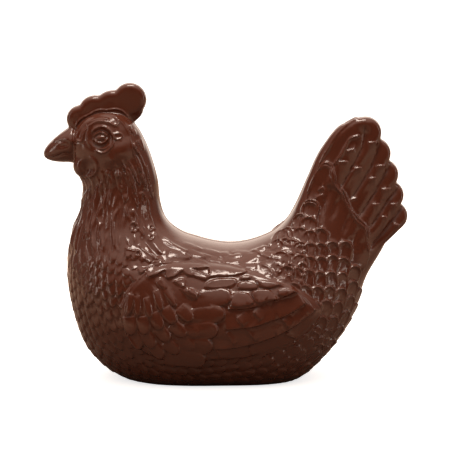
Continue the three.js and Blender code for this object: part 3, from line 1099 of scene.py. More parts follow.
@dataclass(frozen=True)
class Wing:
    """The folded wing: a raised pad with shoulder feathers, coverts and long flight feathers."""

    outline: Path = (
        (-24.6, 12.2), (-4.4, 12.5), (4.0, 12.9), (13.3, 14.4), (21.7, 17.2), (29.8, 21.2), (35.5, 26.6),
        (38.4, 31.2), (38.0, 34.0), (33.0, 38.9), (27.3, 42.7), (19.7, 45.6), (5.7, 49.2), (-10.5, 51.1),
        (-21.7, 51.5), (-27.3, 50.8), (-33.3, 47.8), (-38.5, 42.7), (-41.9, 35.0), (-42.2, 28.5),
        (-39.0, 22.0), (-33.8, 15.8),
    )
    thickness: float = 1.6
    flights: tuple[Path, ...] = (
        ((0.4, 33.4), (8.8, 33.8), (14.4, 35.3), (19.6, 36.8), (23.7, 38.2), (28.1, 40.4)),
        (
            (-1.0, 25.8), (5.6, 26.3), (11.6, 27.1), (17.6, 29.0), (22.9, 30.7), (27.7, 33.1),
            (31.8, 35.8),
        ),
        (
            (-5.8, 18.0), (1.6, 18.5), (7.6, 19.5), (13.6, 21.1), (19.7, 23.2), (25.7, 26.1),
            (31, 29.5), (35.9, 33.1),
        ),
    )
    splits: tuple[tuple[Flat, Flat], ...] = (
        ((10.4, 32.6), (13.6, 29.2)), ((4.0, 30.8), (6.8, 27.0)), ((-0.4, 25.1), (3.2, 19.8)),
        ((7.6, 26.3), (11.6, 21.2)), ((21.6, 29.6), (24.5, 26.0)), ((22.9, 23.6), (28.2, 21.3)),
        ((8.4, 19.1), (10.4, 15.2)), ((-4.0, 17.9), (-2.0, 14.0)),
    )
    tiles: tuple[Path, ...] = (
        ((1.8, 37), (3.2, 39.4), (8, 39.6), (10.2, 37.7), (11, 35.8), (7.2, 34.4), (2.2, 34.5)),
        ((10.6, 37.3), (10.2, 39.8), (17.2, 40.6), (19.4, 38.3), (20.4, 36.9), (16.8, 36.4), (12.6, 35.4)),
        ((20.6, 38.5), (20.5, 40.4), (26.5, 40.8), (28.6, 40), (25.7, 38.9), (22.5, 37.9)),
        ((4.8, 41), (5, 43), (10.4, 43.3), (12.6, 41.8), (12.4, 40.8), (8.8, 40.4)),
        ((13, 41.8), (11.8, 44), (16.1, 43.8), (22.1, 42.6), (19.3, 41.3), (16.8, 40.9)),
        ((5.6, 44), (6.4, 45.2), (8.6, 45.6), (10.4, 45), (10, 44.2)),
    )
    covert_tips: tuple[Triple, ...] = (  # x, z and angle
        (3.0, 38.6, 8), (0.4, 32.4, 7), (-2.4, 26.2, 6), (-4.6, 19.8, 3), (-7.4, 14.0, -2),
    )
    mantle_edge: Path = (
        (-31.4, 45.4), (-30.1, 46.3), (-27.7, 46.6), (-25.3, 48.1), (-24.5, 47.7), (-24.1, 45.1),
        (-22.5, 45.4), (-20.5, 45.7), (-17.7, 47.5), (-16.1, 46), (-13.7, 45.6), (-11.2, 44.8),
        (-8.4, 44.0), (-6.8, 45.0), (-0.4, 45.0), (5.6, 45.6), (9, 47),
    )
    mantle_pit: Path = (
        (-14.1, 48.3), (-10.5, 48.3), (-7.1, 48.3), (-6.7, 46.2), (-7.6, 45.7), (-11.7, 47.2),
    )
    facets: tuple[Path, ...] = (
        ((-27.9, 44), (-26.5, 45.3), (-25.7, 44.9), (-23.9, 42), (-24.8, 41.5), (-27.2, 43)),
        ((-21, 43.9), (-18.5, 44.8), (-16.9, 44.7), (-16.3, 42.3), (-17.2, 41.7), (-20, 43.2)),
        ((-15.9, 40.3), (-13.6, 41), (-10.6, 39.2), (-11.2, 38.2), (-14.4, 39.3)),
        ((-8.6, 41.6), (-6.8, 43.5), (4.2, 43.8), (2.8, 41.8), (-6.4, 41)),
    )
    covert: Feather = Feather(19, 8.4, 1.15, root=0.1, shoulder=0.72, point=2.3, edge=1.3, crown=0.3)
    chains: tuple[Chain, ...] = (
        Chain(((-38.9, 29.9), (-37.0, 22.5), (-33.6, 16.8)), -92, -62),
        Chain(((-34.9, 29.3), (-31.8, 22.7), (-28.1, 17.6), (-24.1, 13.8)), -86, -45),
        Chain(((-29.6, 29), (-25.2, 25), (-21.6, 20.8), (-17.7, 16.4)), -80, -35),
        Chain(((-25.2, 31.9), (-19.6, 27.4), (-15.2, 22.9), (-11.4, 18.0)), -72, -30),
        Chain(((-19.6, 33.5), (-12.8, 28.6), (-9.2, 23.5)), -62, -28),
        Chain(((-10.8, 36.2),), -38, -38),
    )
    finger: Feather = Feather(11, 5.0, 1.15, root=0.1, shoulder=0.5, point=2.2, edge=2.3, crown=0.4)
    scale: Feather = Feather(9.5, 7.4, 1.35, root=0.1, shoulder=0.45, point=2.3, edge=2.0, crown=0.35)
    uneven_angle: float = 3  # degrees
    front_bead: Path = (
        (-30.0, 49.2), (-33.3, 46.9), (-38.0, 42.0), (-41.1, 35.0), (-41.4, 28.5), (-38.3, 22.4),
        (-33.2, 16.5),
    )
    rim_bead: Path = (
        (36.0, 35.8), (38.0, 33.6), (38.2, 31.4), (35.4, 26.8), (29.8, 21.4), (21.7, 17.5), (13.3, 14.8),
    )

    def cut(self, relief: Relief) -> None:
        """Cuts the wing on both sides."""
        Patch(self.outline, self.thickness, edge=2.4, level=True, top_edge=3.4).cut(relief)
        self.coverts(relief)
        self.shoulder(relief)
        self.flight_feathers(relief)
        self.mantle(relief)
        for bead in (self.rim_bead, self.front_bead):
            Cut(bead, depth=-0.5, width=0.55, fade=3).cut(relief)

    def flight_feathers(self, relief: Relief) -> None:
        """Cuts the long feathers, each lying over the next one below, and the splits in them."""
        for line in self.flights:
            Cut(line, depth=0.9, width=0.5, kind=Lines.STEP, reach=4.6).cut(relief)
        for split in self.splits:
            Cut(split, depth=0.65, width=0.4, kind=Lines.STEP, reach=2.0, fade=0.8).cut(relief)
        for tile in self.tiles:
            Patch(tile, height=0.75, edge=0.6).cut(relief)

    def coverts(self, relief: Relief) -> None:
        """Cuts the tier of broad coverts, which end in a scalloped line over the flight feathers."""
        for x, z, angle in self.covert_tips:
            self.covert.laid(relief, (x, z), angle, self.thickness)

    def mantle(self, relief: Relief) -> None:
        """Cuts the jagged edge of the mantle along the wing's top, and the facets below it."""
        Cut(self.mantle_edge, depth=0.85, width=0.6, kind=Lines.STEP, reach=2.6, fade=1).cut(relief)
        Patch(self.mantle_pit, height=-0.8, edge=0.6).cut(relief)
        Cut(ring(self.mantle_pit), depth=-0.25, width=0.38, fade=0).cut(relief)
        for facet in self.facets:
            Patch(facet, height=0.6, edge=0.5).cut(relief)
            Cut(ring(facet), depth=-0.3, width=0.35, fade=0).cut(relief)

    def shoulder(self, relief: Relief) -> None:
        """Cuts the round feathers at the front of the wing, in chains that run down and back."""
        dice = np.random.default_rng(SEED + 1)
        for tips, first, last in self.chains:
            for k, (x, z) in enumerate(tips):
                share = k / max(len(tips) - 1, 1)
                angle = first + (last - first) * share + dice.normal(0, self.uneven_angle)
                shape = self.finger.mixed(self.scale, min(1.0, 3 * share))
                shape.laid(relief, (x, z), float(angle), self.thickness)


@dataclass(frozen=True)
class Tail:
    """The tail's furrows, the quill of its front feather, and the coverts over its root."""

    furrows: tuple[Path, ...] = (
        (
            (56.8, 106.0), (56.7, 104.0), (56.5, 100.9), (55.6, 95.8), (53.9, 92.5), (51.5, 87.7),
            (48.6, 82.4), (45.7, 77.6),
        ),
        ((63.3, 99.6), (61.8, 93.9), (59.7, 88.4), (56.4, 82.7), (52.7, 77.1), (50.3, 73.5)),
        ((68.4, 90.6), (65.9, 86.2), (62.6, 80.2), (59.3, 74.6), (55.6, 69.0), (53.6, 66.2)),
        ((72, 81), (68.5, 76.3), (65.1, 71.6), (61.0, 65.6), (58.1, 61.6)),
        ((73.8, 73), (70.3, 68.3), (65.7, 62.0), (61.1, 56.9), (58.2, 53.3)),
    )
    quill: Path = (
        (54.8, 101.0), (50.6, 99.4), (49.0, 96.2), (47.4, 93.0), (45.3, 90.5), (44.1, 88.5),
    )
    barbs: tuple[tuple[Flat, Flat], ...] = (
        ((48.6, 94.6), (52.7, 95.8)), ((45.3, 90.5), (50.2, 90.5)), ((57.7, 98.1), (62.3, 98.4)),
        ((51.5, 87.7), (56, 88)), ((60.9, 88.4), (65.6, 89.0)), ((58.1, 83.5), (61.8, 83.9)),
        ((63.4, 79.0), (68.1, 79.2)), ((59.7, 72.9), (63.1, 72.9)), ((67.2, 72.7), (70.3, 72.8)),
        ((63.5, 67.9), (66.4, 67.4)), ((68.6, 65.1), (71.6, 63.7)),
    )
    covert_edge: Path = (
        (58.2, 53.6), (57.3, 58.3), (57.3, 62.4), (55.6, 64.5), (53.1, 66.2), (51.5, 69.0),
        (49.8, 72.3), (48.2, 75.2), (46.6, 78.8), (44.5, 80.8), (44.5, 84), (44.1, 86.1), (43.3, 88.9),
        (41.3, 89.9), (39.7, 89.4), (38.8, 88.2), (36.2, 83.5), (33.6, 76.9),
    )
    covert_lines: tuple[Path, ...] = (
        ((44.4, 81.5), (42.5, 78.5), (40, 73), (38.6, 68)),
        ((47.6, 76.5), (45.6, 73.5), (43.6, 69), (42, 66)),
        ((51.3, 69.8), (49.8, 66.5), (48, 62), (46.6, 60)),
        ((55.3, 64.8), (53.6, 61.5), (52.2, 57.5), (51, 54.5)),
    )
    glints: tuple[tuple[Flat, Flat], ...] = (((37.6, 78.6), (39.6, 80.4)), ((36.2, 75.8), (39.8, 77.4)))
    front_band: Path = (
        (31.5, 68.5), (33.7, 76.5), (38.8, 89.3), (42.1, 94.9), (45.8, 101), (50.4, 105.3), (55.5, 108.3),
    )
    rear_scale: Path = ((55.7, 44.5), (57.4, 48.3), (58.6, 51.6), (58.6, 55.4), (57.3, 57.9))
    hook: Path = ((50.3, 73.9), (51.9, 75.1), (54.0, 75.1))
    edge_bead: Path = (
        (46.2, 80.6), (48.4, 77.6), (49.9, 74.2), (51.6, 70.2), (54.1, 67.2), (56.2, 65.2), (58, 62.6),
        (58.4, 58.6),
    )
    tip_inside: Path = ((38.6, 86.8), (40.6, 88.4), (42.6, 87.2), (43.4, 84.6), (43.5, 81.6))
    front_scale: Feather = Feather(
        9.5, 7.6, 1.7, root=0.3, point=2.4, edge=0.6, crown=0.1, dish=0.75, rim=1.2
    )
    front_scale_tip: Flat = (35.0, 75.4)
    front_scale_angle: float = 82

    def cut(self, relief: Relief) -> None:
        """Cuts the tail on both sides."""
        for line in self.furrows:
            Cut(line, depth=0.6, width=1.7, fade=5).cut(relief)
            Cut(line, depth=0.45, width=0.45, fade=4).cut(relief)
        Cut(self.covert_edge, depth=0.8, width=0.45, kind=Lines.STEP, reach=9, fade=9).cut(relief)
        Cut(self.covert_edge, depth=-0.5, width=0.4, fade=1).cut(relief)
        Cut(self.edge_bead, depth=-0.45, width=0.45, fade=1).cut(relief)
        Cut(self.tip_inside, depth=-0.35, width=0.38, fade=1).cut(relief)
        for line in self.covert_lines:
            Cut(line, depth=0.4, width=1.1, fade=4).cut(relief)
        Cut(self.quill, depth=-0.75, width=0.42, fade=1).cut(relief)
        Cut(self.front_band, depth=0.6, width=0.5, kind=Lines.STEP, reach=4).cut(relief)
        for left, right in self.barbs:
            Cut((right, left), depth=0.7, width=0.35, kind=Lines.STEP, reach=1.6, fade=0.8).cut(relief)
        for left, right in self.glints:
            Cut((right, left), depth=0.7, width=0.4, kind=Lines.STEP, reach=1.6, fade=0.7).cut(relief)
        Cut(self.hook, depth=-0.35, width=0.38, fade=0.8).cut(relief)
        Cut(self.rear_scale, depth=0.7, width=0.5, kind=Lines.STEP, reach=3, fade=3).cut(relief)
        self.front_scale.laid(relief, self.front_scale_tip, self.front_scale_angle)


@dataclass(frozen=True)
class Face:
    """The face: eye, brow, beak line, nostril, wattles and cheek."""

    ring_line: Path = (
        (-53.2, 95.8), (-51.5, 94.7), (-49.9, 94.5), (-48.2, 95.3), (-46.6, 96.9), (-45.6, 98.9),
        (-45.6, 100.9), (-46.2, 102.1), (-47.2, 103.5), (-48.7, 104.6), (-50.3, 105.0), (-51.9, 104.7),
        (-53.3, 104.0), (-54.6, 102.8),
    )
    ring_inside: Path = (
        (-46.9, 99.9), (-47.1, 98.1), (-48.3, 96.8), (-49.9, 96.1), (-51.3, 96.4),
    )
    cheek_line: Path = (
        (-54.8, 96.6), (-56.0, 99.2), (-56.2, 102.0), (-55.4, 104.3), (-53.8, 106.0),
    )
    lids: tuple[Path, ...] = (
        ((-54.2, 101.0), (-52.7, 102.2), (-51.1, 102.8), (-49.5, 102.5), (-47.9, 101.3)),
        ((-53.7, 99.9), (-52.3, 98.8), (-50.7, 98.4), (-49.0, 99.1), (-47.9, 100.5)),
    )
    lens: Flat = (-50.9, 100.6)
    brow: Path = (
        (-60.6, 99.4), (-59.4, 103.4), (-57.3, 106.3), (-54.3, 108.4), (-51.4, 109.2), (-48.5, 109.3),
        (-46.2, 109), (-44.2, 107.5), (-43.8, 106), (-44.7, 105.3), (-46.7, 106.1), (-49.5, 106.9),
        (-52.4, 106.8), (-55.3, 105.1), (-57.6, 102.4), (-58.6, 99),
    )
    brow_line: Path = (
        (-57.8, 104.9), (-55.6, 106.6), (-53.2, 107.7), (-50.4, 108.2), (-47, 107.7),
    )
    tear: Path = (
        (-46.2, 101.7), (-45.0, 102.2), (-43.8, 102.4), (-42.8, 102.0), (-42.2, 101.1), (-42.8, 100.2),
        (-43.8, 99.8), (-45.0, 100.2), (-45.8, 101.0),
    )
    mask: Path = (
        (-34.6, 86.0), (-35.4, 88.5), (-36.6, 91.4), (-37.8, 94.2), (-39.0, 99.1), (-39.4, 101.5),
        (-41.1, 104.7), (-42.7, 106.6), (-44.3, 107.5),
    )
    comb_foot: Path = (
        (-61.8, 103.7), (-60.1, 106.8), (-58, 108.1), (-54.7, 109.9), (-53.1, 110.8), (-51, 111.2),
        (-48.6, 111.0), (-45.7, 111.5), (-42.9, 111.0), (-40.8, 109.2), (-39.4, 107.3),
    )
    mouth: Path = (
        (-75, 91.6), (-72.2, 91.3), (-70.1, 91.7), (-67.9, 92.8), (-65.4, 93.5), (-62.4, 93.5),
    )
    nostril: Path = (
        (-70.9, 97.3), (-69.2, 98.4), (-66.6, 99.0), (-64.5, 98.7), (-62.0, 97.5), (-59.4, 97.4),
    )
    wattle: Triple = (-56.6, 88.6, 4.2)  # x, z and radius of its raised rim
    wattle_rim: Flat = (-110, 80)  # the angles where that rim starts and stops
    wattle_hollow: Swell = Swell(-56.6, 88.3, 3.3, 3.5, height=-1.2, power=1.0)
    cheek: Swell = Swell(-43.6, 94.6, 8.5, 5.5, height=1.3, tilt=35)
    socket: Swell = Swell(*lens, 7.8, 7.2, height=-0.6)
    eyeball: Swell = Swell(*lens, 2.1, 1.1, height=0.75, tilt=6, power=0.7)
    eye_groove: Flat = (3.9, 3.4)  # half its width and half its height
    dimple: Swell = Swell(-66.5, 96.6, 2.6, 1.1, height=-0.4, tilt=10)

    def cut(self, relief: Relief) -> None:
        """Cuts the face on both sides."""
        self.cheek.cut(relief)
        Cut(self.mask, depth=0.25, width=0.6, kind=Lines.STEP, reach=3).cut(relief)
        Cut(self.mask, depth=-0.5, width=0.36, fade=1).cut(relief)
        Cut(self.comb_foot, depth=-0.5, width=0.38, fade=1).cut(relief)
        self.cut_eye(relief)
        self.cut_beak(relief)
        x, z, radius = self.wattle
        self.wattle_hollow.cut(relief)
        Cut(oval(x, z, radius, radius, *self.wattle_rim), depth=-0.5, width=0.6).cut(relief)

    def cut_eye(self, relief: Relief) -> None:
        """Cuts the eye: a lens between two lids, a ring round it, and the brow over it."""
        self.socket.cut(relief)
        Patch(self.brow, height=-0.2, edge=0.7).cut(relief)
        Cut(ring(self.brow), depth=-0.6, width=0.36, fade=0).cut(relief)
        Cut(self.brow_line, depth=-0.5, width=0.34).cut(relief)
        Cut(oval(*self.lens, *self.eye_groove), depth=0.55, width=0.7, fade=0).cut(relief)
        Cut(self.ring_line, depth=-0.7, width=0.42, fade=0.8).cut(relief)
        Cut(self.ring_inside, depth=-0.4, width=0.36, fade=0.8).cut(relief)
        Cut(self.cheek_line, depth=-0.5, width=0.5, fade=1.5).cut(relief)
        for lid in self.lids:
            Cut(lid, depth=-0.6, width=0.38, fade=0.5).cut(relief)
        self.eyeball.cut(relief)
        Patch(self.tear, height=0.15, edge=0.4).cut(relief)
        Cut(ring(self.tear), depth=-0.48, width=0.33, fade=0).cut(relief)

    def cut_beak(self, relief: Relief) -> None:
        """Cuts the line of the mouth and the fold over the nostril."""
        Cut(self.mouth, depth=0.65, width=0.6, fade=1).cut(relief)
        Cut(self.nostril, depth=0.55, width=0.8, kind=Lines.STEP, reach=2.5).cut(relief)
        self.dimple.cut(relief)


# ---- Finish ----


@dataclass(frozen=True)
class MilkChocolate:
    """Glossy milk chocolate as it leaves a polished mould."""

    colour: Triple = (0.063, 0.0168, 0.0086)
    pale: Triple = (0.076, 0.0207, 0.0107)
    roughness: float = 0.15
    ior: float = 1.47
    ripple: float = 0.05  # the height of the fine waves

    def material(self) -> bpy.types.Material:
        """Builds the material.

        Returns:
            A glossy brown with slight clouding and fine waves.
        """
        made = bpy.data.materials.new("milk_chocolate")
        made.use_nodes = True
        nodes, links = made.node_tree.nodes, made.node_tree.links
        shader = nodes["Principled BSDF"]
        shader.inputs["IOR"].default_value = self.ior
        cloud = nodes.new("ShaderNodeGroup")
        cloud.node_tree = clouding()
        cloud.inputs["Colour"].default_value = (*self.colour, 1)
        cloud.inputs["Pale"].default_value = (*self.pale, 1)
        cloud.inputs["Roughness"].default_value = self.roughness
        links.new(cloud.outputs["Colour"], shader.inputs["Base Color"])
        links.new(cloud.outputs["Roughness"], shader.inputs["Roughness"])
        bump = nodes.new("ShaderNodeBump")
        bump.inputs["Strength"].default_value = 1.0
        bump.inputs["Distance"].default_value = self.ripple * MM
        links.new(cloud.outputs["Height"], bump.inputs["Height"])
        links.new(bump.outputs["Normal"], shader.inputs["Normal"])
        return made


class Grain(NamedTuple):
    """How fine a noise is."""

    cells: float  # for each metre
    detail: float


CLOUDS = Grain(60, 3)
MATTING = Grain(140, 4)
WAVES = Grain(450, 2)
MATTING_RANGE = {"From Min": 0.3, "From Max": 0.7, "To Min": 0.85, "To Max": 1.2}


def clouding() -> bpy.types.ShaderNodeTree:
    """The slight unevenness of set chocolate, as a group.

    Returns:
        A group that turns a colour, a paler one and a roughness into ones that vary, and gives the
        height of fine waves.
    """
    group = bpy.data.node_groups.new("chocolate_clouding", "ShaderNodeTree")
    for name, way, kind in (
        ("Colour", "INPUT", "NodeSocketColor"),
        ("Pale", "INPUT", "NodeSocketColor"),
        ("Roughness", "INPUT", "NodeSocketFloat"),
        ("Colour", "OUTPUT", "NodeSocketColor"),
        ("Roughness", "OUTPUT", "NodeSocketFloat"),
        ("Height", "OUTPUT", "NodeSocketFloat"),
    ):
        group.interface.new_socket(name, in_out=way, socket_type=kind)
    nodes, links = group.nodes, group.links
    start, end = nodes.new("NodeGroupInput"), nodes.new("NodeGroupOutput")
    place = nodes.new("ShaderNodeTexCoord")

    def noise(grain: Grain) -> bpy.types.NodeSocket:
        """A noise over the object's own coordinates."""
        made = nodes.new("ShaderNodeTexNoise")
        made.inputs["Scale"].default_value = grain.cells
        made.inputs["Detail"].default_value = grain.detail
        links.new(place.outputs["Object"], made.inputs["Vector"])
        return made.outputs["Fac"]

    mix = nodes.new("ShaderNodeMix")
    mix.data_type = "RGBA"
    links.new(noise(CLOUDS), mix.inputs["Factor"])
    links.new(start.outputs["Colour"], mix.inputs["A"])
    links.new(start.outputs["Pale"], mix.inputs["B"])
    links.new(mix.outputs["Result"], end.inputs["Colour"])
    spread = nodes.new("ShaderNodeMapRange")
    for name, value in MATTING_RANGE.items():
        spread.inputs[name].default_value = value
    links.new(noise(MATTING), spread.inputs["Value"])
    rough = nodes.new("ShaderNodeMath")
    rough.operation = "MULTIPLY"
    links.new(spread.outputs["Result"], rough.inputs[0])
    links.new(start.outputs["Roughness"], rough.inputs[1])
    links.new(rough.outputs["Value"], end.inputs["Roughness"])
    links.new(noise(WAVES), end.inputs["Height"])
    return group


# ---- The hen ----


@dataclass
class Hen:
    """The whole hen, as one piece of chocolate."""

    voxel: float = 0.25
    most_triangles: int = 194_000
    easings: int = 32  # how often the bare skin is eased
    last_easing: float = 0.25  # the strength of the one easing after the relief
    plain_foot: float = 4.5  # the relief fades out over this height above the base
    seam_height: float = 0.2
    seam_width: float = 0.35
    hull: Hull = field(default_factory=Hull)
    finish: MilkChocolate = field(default_factory=MilkChocolate)

    def build(self) -> bpy.types.Object:
        """Makes the hen's mesh, dresses it and ties it to its body.

        Returns:
            The finished piece.
        """
        shells = [self.hull.shell(), *Comb().shells(), *Head().shells(), *Fan().shells()]
        skin = Skin(self.fused(shells))
        skin.ease(self.easings)
        log.info("fused %d forms into %d points", len(shells), len(skin.points))
        relief = Relief(skin)
        for sub in (Plumage(self.hull), Saddle(), Neck(), Wing(), Tail(), Face()):
            sub.cut(relief)
            log.info("cut %s", type(sub).__name__.lower())
        relief.height *= smooth(relief.place[:, 2] / self.plain_foot)
        self.seam(relief)
        relief.press()
        skin.points[:, 2] = np.maximum(skin.points[:, 2], 0)
        skin.ease(1, self.last_easing)
        dense, out = skin.points.copy(), skin.normals()
        thin = self.thinned(skin.write())
        piece = bpy.data.objects.new("hen_chocolate", thin)
        bpy.context.scene.collection.objects.link(piece)
        piece.data.materials.append(self.finish.material())
        self.shade(thin, dense, out)
        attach(piece, "root")
        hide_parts("hen")
        return piece

    @staticmethod
    def shade(mesh: bpy.types.Mesh, dense: Array, out: Array) -> None:
        """Lets a thinned mesh shade as the dense skin that it came from.

        Args:
            mesh: the thinned mesh, in metres.
            dense: the dense skin's points, in millimetres.
            out: the dense skin's outward directions.
        """
        tree = kdtree.KDTree(len(dense))
        for i, point in enumerate(dense * MM):
            tree.insert(point, i)
        tree.balance()
        nearest = [tree.find(vertex.co)[1] for vertex in mesh.vertices]
        mesh.polygons.foreach_set("use_smooth", [True] * len(mesh.polygons))
        mesh.normals_split_custom_set_from_vertices(out[nearest].tolist())

    def seam(self, relief: Relief) -> None:
        """Raises the fine line where the mould's two halves meet."""
        relief.height += self.seam_height * np.exp(-((relief.place[:, 1] / self.seam_width) ** 2))

    def fused(self, shells: Sequence[Shell]) -> bpy.types.Mesh:
        """Joins overlapping shells into one closed mesh of small even faces.

        Args:
            shells: the forms, which may run into each other.

        Returns:
            The mesh, in metres.
        """
        points = np.vstack([s.points for s in shells]) * MM
        faces, passed = [], 0
        for shell in shells:
            faces += [tuple(i + passed for i in f) for f in shell.faces]
            passed += len(shell.points)
        mesh = bpy.data.meshes.new("forms")
        mesh.from_pydata(points, [], faces)
        return self.through(mesh, "REMESH", mode="VOXEL", voxel_size=self.voxel * MM)

    def thinned(self, mesh: bpy.types.Mesh) -> bpy.types.Mesh:
        """Takes away the triangles that the flatter places don't need."""
        mesh.calc_loop_triangles()
        share = min(1.0, self.most_triangles / len(mesh.loop_triangles))
        return self.through(mesh, "DECIMATE", ratio=share)

    @staticmethod
    def through(mesh: bpy.types.Mesh, kind: str, **settings: object) -> bpy.types.Mesh:
        """Runs a mesh through one modifier.

        Args:
            mesh: the mesh, which is used up.
            kind: the modifier's type.
            settings: the modifier's settings.

        Returns:
            The new mesh.
        """
        carrier = bpy.data.objects.new("carrier", mesh)
        bpy.context.scene.collection.objects.link(carrier)
        modifier = carrier.modifiers.new(kind.lower(), kind)
        for name, value in settings.items():
            setattr(modifier, name, value)
        graph = bpy.context.evaluated_depsgraph_get()
        made = bpy.data.meshes.new_from_object(carrier.evaluated_get(graph))
        bpy.data.objects.remove(carrier)
        bpy.data.meshes.remove(mesh)
        return made


# ---- The studio ----


@dataclass(frozen=True)
class Panel:
    """A soft light that faces a place above the floor."""

    name: str
    place: Triple  # metres
    size: Flat  # metres
    watts: float
    colour: Triple = (1.0, 0.86, 0.76)
    mirrored: bool = True  # whether the chocolate's gloss shows it
    faced: Triple = (0, 0, 0.06)  # metres

    def hang(self) -> None:
        """Hangs the light, out of the camera's sight."""
        data = bpy.data.lights.new(self.name, "AREA")
        data.shape = "RECTANGLE"
        data.size, data.size_y = self.size
        data.energy = self.watts
        data.color = self.colour
        light = bpy.data.objects.new(self.name, data)
        light.location = self.place
        towards = Vector(self.faced) - light.location
        light.rotation_euler = towards.to_track_quat("-Z", "Y").to_euler()
        light.visible_camera = False
        light.visible_glossy = self.mirrored
        bpy.context.scene.collection.objects.link(light)


def two_views(
    tree: bpy.types.NodeTree,
    seen: bpy.types.NodeSocket,
    felt: bpy.types.NodeSocket,
    end: bpy.types.NodeSocket,
) -> None:
    """Shows one shader to the camera and another to everything else.

    Args:
        tree: the nodes that both shaders are in.
        seen: the shader that the camera sees.
        felt: the shader that lights the hen and shows in its gloss.
        end: the socket that takes the mixture.
    """
    ray, mix = tree.nodes.new("ShaderNodeLightPath"), tree.nodes.new("ShaderNodeMixShader")
    tree.links.new(ray.outputs["Is Camera Ray"], mix.inputs["Fac"])
    tree.links.new(felt, mix.inputs[1])
    tree.links.new(seen, mix.inputs[2])
    tree.links.new(mix.outputs["Shader"], end)


class Glow(NamedTuple):
    """A smooth brightening of the surround along one axis of the direction that it is seen in."""

    axis: str
    start: float
    full: float
    strength: float
    both_ways: bool = False


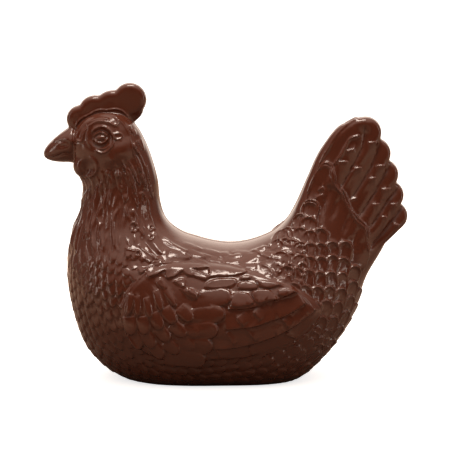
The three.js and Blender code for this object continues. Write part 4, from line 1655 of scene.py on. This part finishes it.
@dataclass(frozen=True)
class Studio:
    """A pale floor, soft light and the camera."""

    distance: float = 0.9  # metres, from the camera to the aim
    elevation: float = 8  # degrees
    aim: Triple = (0, 0, 0.0628)
    field: float = PIXEL * PICTURE_WIDTH * MM  # the width of the view at the aim
    sensor: float = 36  # millimetres
    tint: Triple = (1.0, 0.83, 0.71)
    floor_half: float = 12.0  # metres
    floor_paint: Triple = (0.8, 0.8, 0.8)
    floor_roughness: float = 0.9
    shaded_floor_reach: Flat = (0.05, 0.33)  # metres: the hen feels a floor painted darker near it and in front of it, a painted shade, that turns pale beyond
    # the colour of the floor's painted shade near the hen and in front of it, which only the hen feels
    painted_floor_shade: Triple = (0.21, 0.158, 0.126)
    bright: Triple = (0.62, 0.47, 0.37)
    floor_glow: float = 0.75  # keeps the floor that the camera sees pale
    glows: tuple[Glow, ...] = (
        Glow("Z", 0.3, 1.0, 1.55),
        Glow("Y", 0.55, 0.95, 1.9),
        Glow("X", 0.6, 1.0, 0.25, both_ways=True),
        Glow("Z", -2.0, -1.5, 0.05),
    )
    panels: tuple[Panel, ...] = (
        Panel("top_softbox", (0.0, -0.12, 0.85), (0.34, 0.26), 5.9),
        Panel("left_strip", (-1.0, -0.4, 0.35), (0.1, 0.7), 1.5),
        Panel("right_strip", (1.0, -0.4, 0.35), (0.1, 0.7), 1.3),
        Panel("front_fill", (-0.3, -1.0, 0.9), (0.8, 0.8), 1.5, mirrored=False),
    )

    def build(self) -> None:
        """Sets up everything round the hen."""
        self.camera()
        self.floor()
        self.surroundings()
        for panel in self.panels:
            panel.hang()

    def camera(self) -> None:
        """Places the camera beside the hen, looking a little down at it."""
        data = bpy.data.cameras.new("camera")
        data.sensor_width = self.sensor
        data.lens = self.sensor / 2 / (self.field / 2 / self.distance)
        view = bpy.data.objects.new("camera", data)
        rise = math.radians(self.elevation)
        back = Vector((0, -math.cos(rise), math.sin(rise)))
        view.location = Vector(self.aim) + back * self.distance
        view.rotation_euler = (-back).to_track_quat("-Z", "Y").to_euler()
        bpy.context.scene.collection.objects.link(view)
        bpy.context.scene.camera = view

    def floor(self) -> None:
        """Lays a wide pale floor, which the hen feels as one painted darker near it and in front of it, a
        painted shade.
        """
        half = self.floor_half
        mesh = bpy.data.meshes.new("floor")
        corners = [(-half, -half, 0), (half, -half, 0), (half, half, 0), (-half, half, 0)]
        mesh.from_pydata(corners, [], [(0, 1, 2, 3)])
        floor = bpy.data.objects.new("floor", mesh)
        bpy.context.scene.collection.objects.link(floor)
        paint = bpy.data.materials.new("pale_floor")
        paint.use_nodes = True
        nodes, links = paint.node_tree.nodes, paint.node_tree.links
        seen = nodes["Principled BSDF"]
        seen.inputs["Base Color"].default_value = (*self.floor_paint, 1)
        seen.inputs["Roughness"].default_value = self.floor_roughness
        seen.inputs["Specular IOR Level"].default_value = 0.0
        seen.inputs["Emission Color"].default_value = (1, 1, 1, 1)
        seen.inputs["Emission Strength"].default_value = self.floor_glow
        # what the hen feels: a floor painted darker near the hen and in front of it as painted shade, and
        # pale aside and behind
        felt = nodes.new("ShaderNodeBsdfDiffuse")
        place, axes = nodes.new("ShaderNodeTexCoord"), nodes.new("ShaderNodeSeparateXYZ")
        aside, away = nodes.new("ShaderNodeMath"), nodes.new("ShaderNodeMath")
        aside.operation, away.operation = "ABSOLUTE", "MAXIMUM"
        share, shade = nodes.new("ShaderNodeMapRange"), nodes.new("ShaderNodeMix")
        share.interpolation_type = "SMOOTHERSTEP"
        share.inputs["From Min"].default_value, share.inputs["From Max"].default_value = self.shaded_floor_reach
        shade.data_type = "RGBA"
        shade.inputs["A"].default_value = (*self.painted_floor_shade, 1)
        shade.inputs["B"].default_value = (*self.bright, 1)
        links.new(place.outputs["Object"], axes.inputs["Vector"])
        links.new(axes.outputs["X"], aside.inputs[0])
        links.new(aside.outputs["Value"], away.inputs[0])
        links.new(axes.outputs["Y"], away.inputs[1])
        links.new(away.outputs["Value"], share.inputs["Value"])
        links.new(share.outputs["Result"], shade.inputs["Factor"])
        links.new(shade.outputs["Result"], felt.inputs["Color"])
        end = nodes["Material Output"].inputs["Surface"]
        two_views(paint.node_tree, seen.outputs["BSDF"], felt.outputs["BSDF"], end)
        mesh.materials.append(paint)

    def surroundings(self) -> None:
        """Gives the camera a white surround, and the hen a soft one that is bright above and behind."""
        world = bpy.data.worlds.new("studio")
        bpy.context.scene.world = world
        world.use_nodes = True
        nodes, links = world.node_tree.nodes, world.node_tree.links
        nodes.clear()
        way, axes = nodes.new("ShaderNodeTexCoord"), nodes.new("ShaderNodeSeparateXYZ")
        links.new(way.outputs["Generated"], axes.inputs["Vector"])
        total: bpy.types.NodeSocket | None = None
        for glow in self.glows:
            axis = axes.outputs[glow.axis]
            if glow.both_ways:
                size = nodes.new("ShaderNodeMath")
                size.operation = "ABSOLUTE"
                links.new(axis, size.inputs[0])
                axis = size.outputs["Value"]
            ease = nodes.new("ShaderNodeMapRange")
            ease.interpolation_type = "SMOOTHERSTEP"
            ease.inputs["From Min"].default_value = glow.start
            ease.inputs["From Max"].default_value = glow.full
            ease.inputs["To Max"].default_value = glow.strength
            links.new(axis, ease.inputs["Value"])
            if total is None:
                total = ease.outputs["Result"]
                continue
            add = nodes.new("ShaderNodeMath")
            links.new(total, add.inputs[0])
            links.new(ease.outputs["Result"], add.inputs[1])
            total = add.outputs["Value"]
        out = nodes.new("ShaderNodeOutputWorld")
        seen, felt = nodes.new("ShaderNodeBackground"), nodes.new("ShaderNodeBackground")
        seen.inputs["Color"].default_value = (1, 1, 1, 1)
        felt.inputs["Color"].default_value = (*self.tint, 1)
        links.new(total, felt.inputs["Strength"])
        two_views(
            world.node_tree, seen.outputs["Background"], felt.outputs["Background"], out.inputs["Surface"]
        )
        bpy.context.scene.view_settings.view_transform = "Standard"


def main() -> None:
    """Builds the studio and the hen."""
    logging.basicConfig(level=logging.INFO, format="%(message)s")
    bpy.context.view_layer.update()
    Studio().build()
    piece = Hen().build()
    log.info("%s has %d triangles", piece.name, sum(len(p.vertices) - 2 for p in piece.data.polygons))


if __name__ == "__main__":
    main()
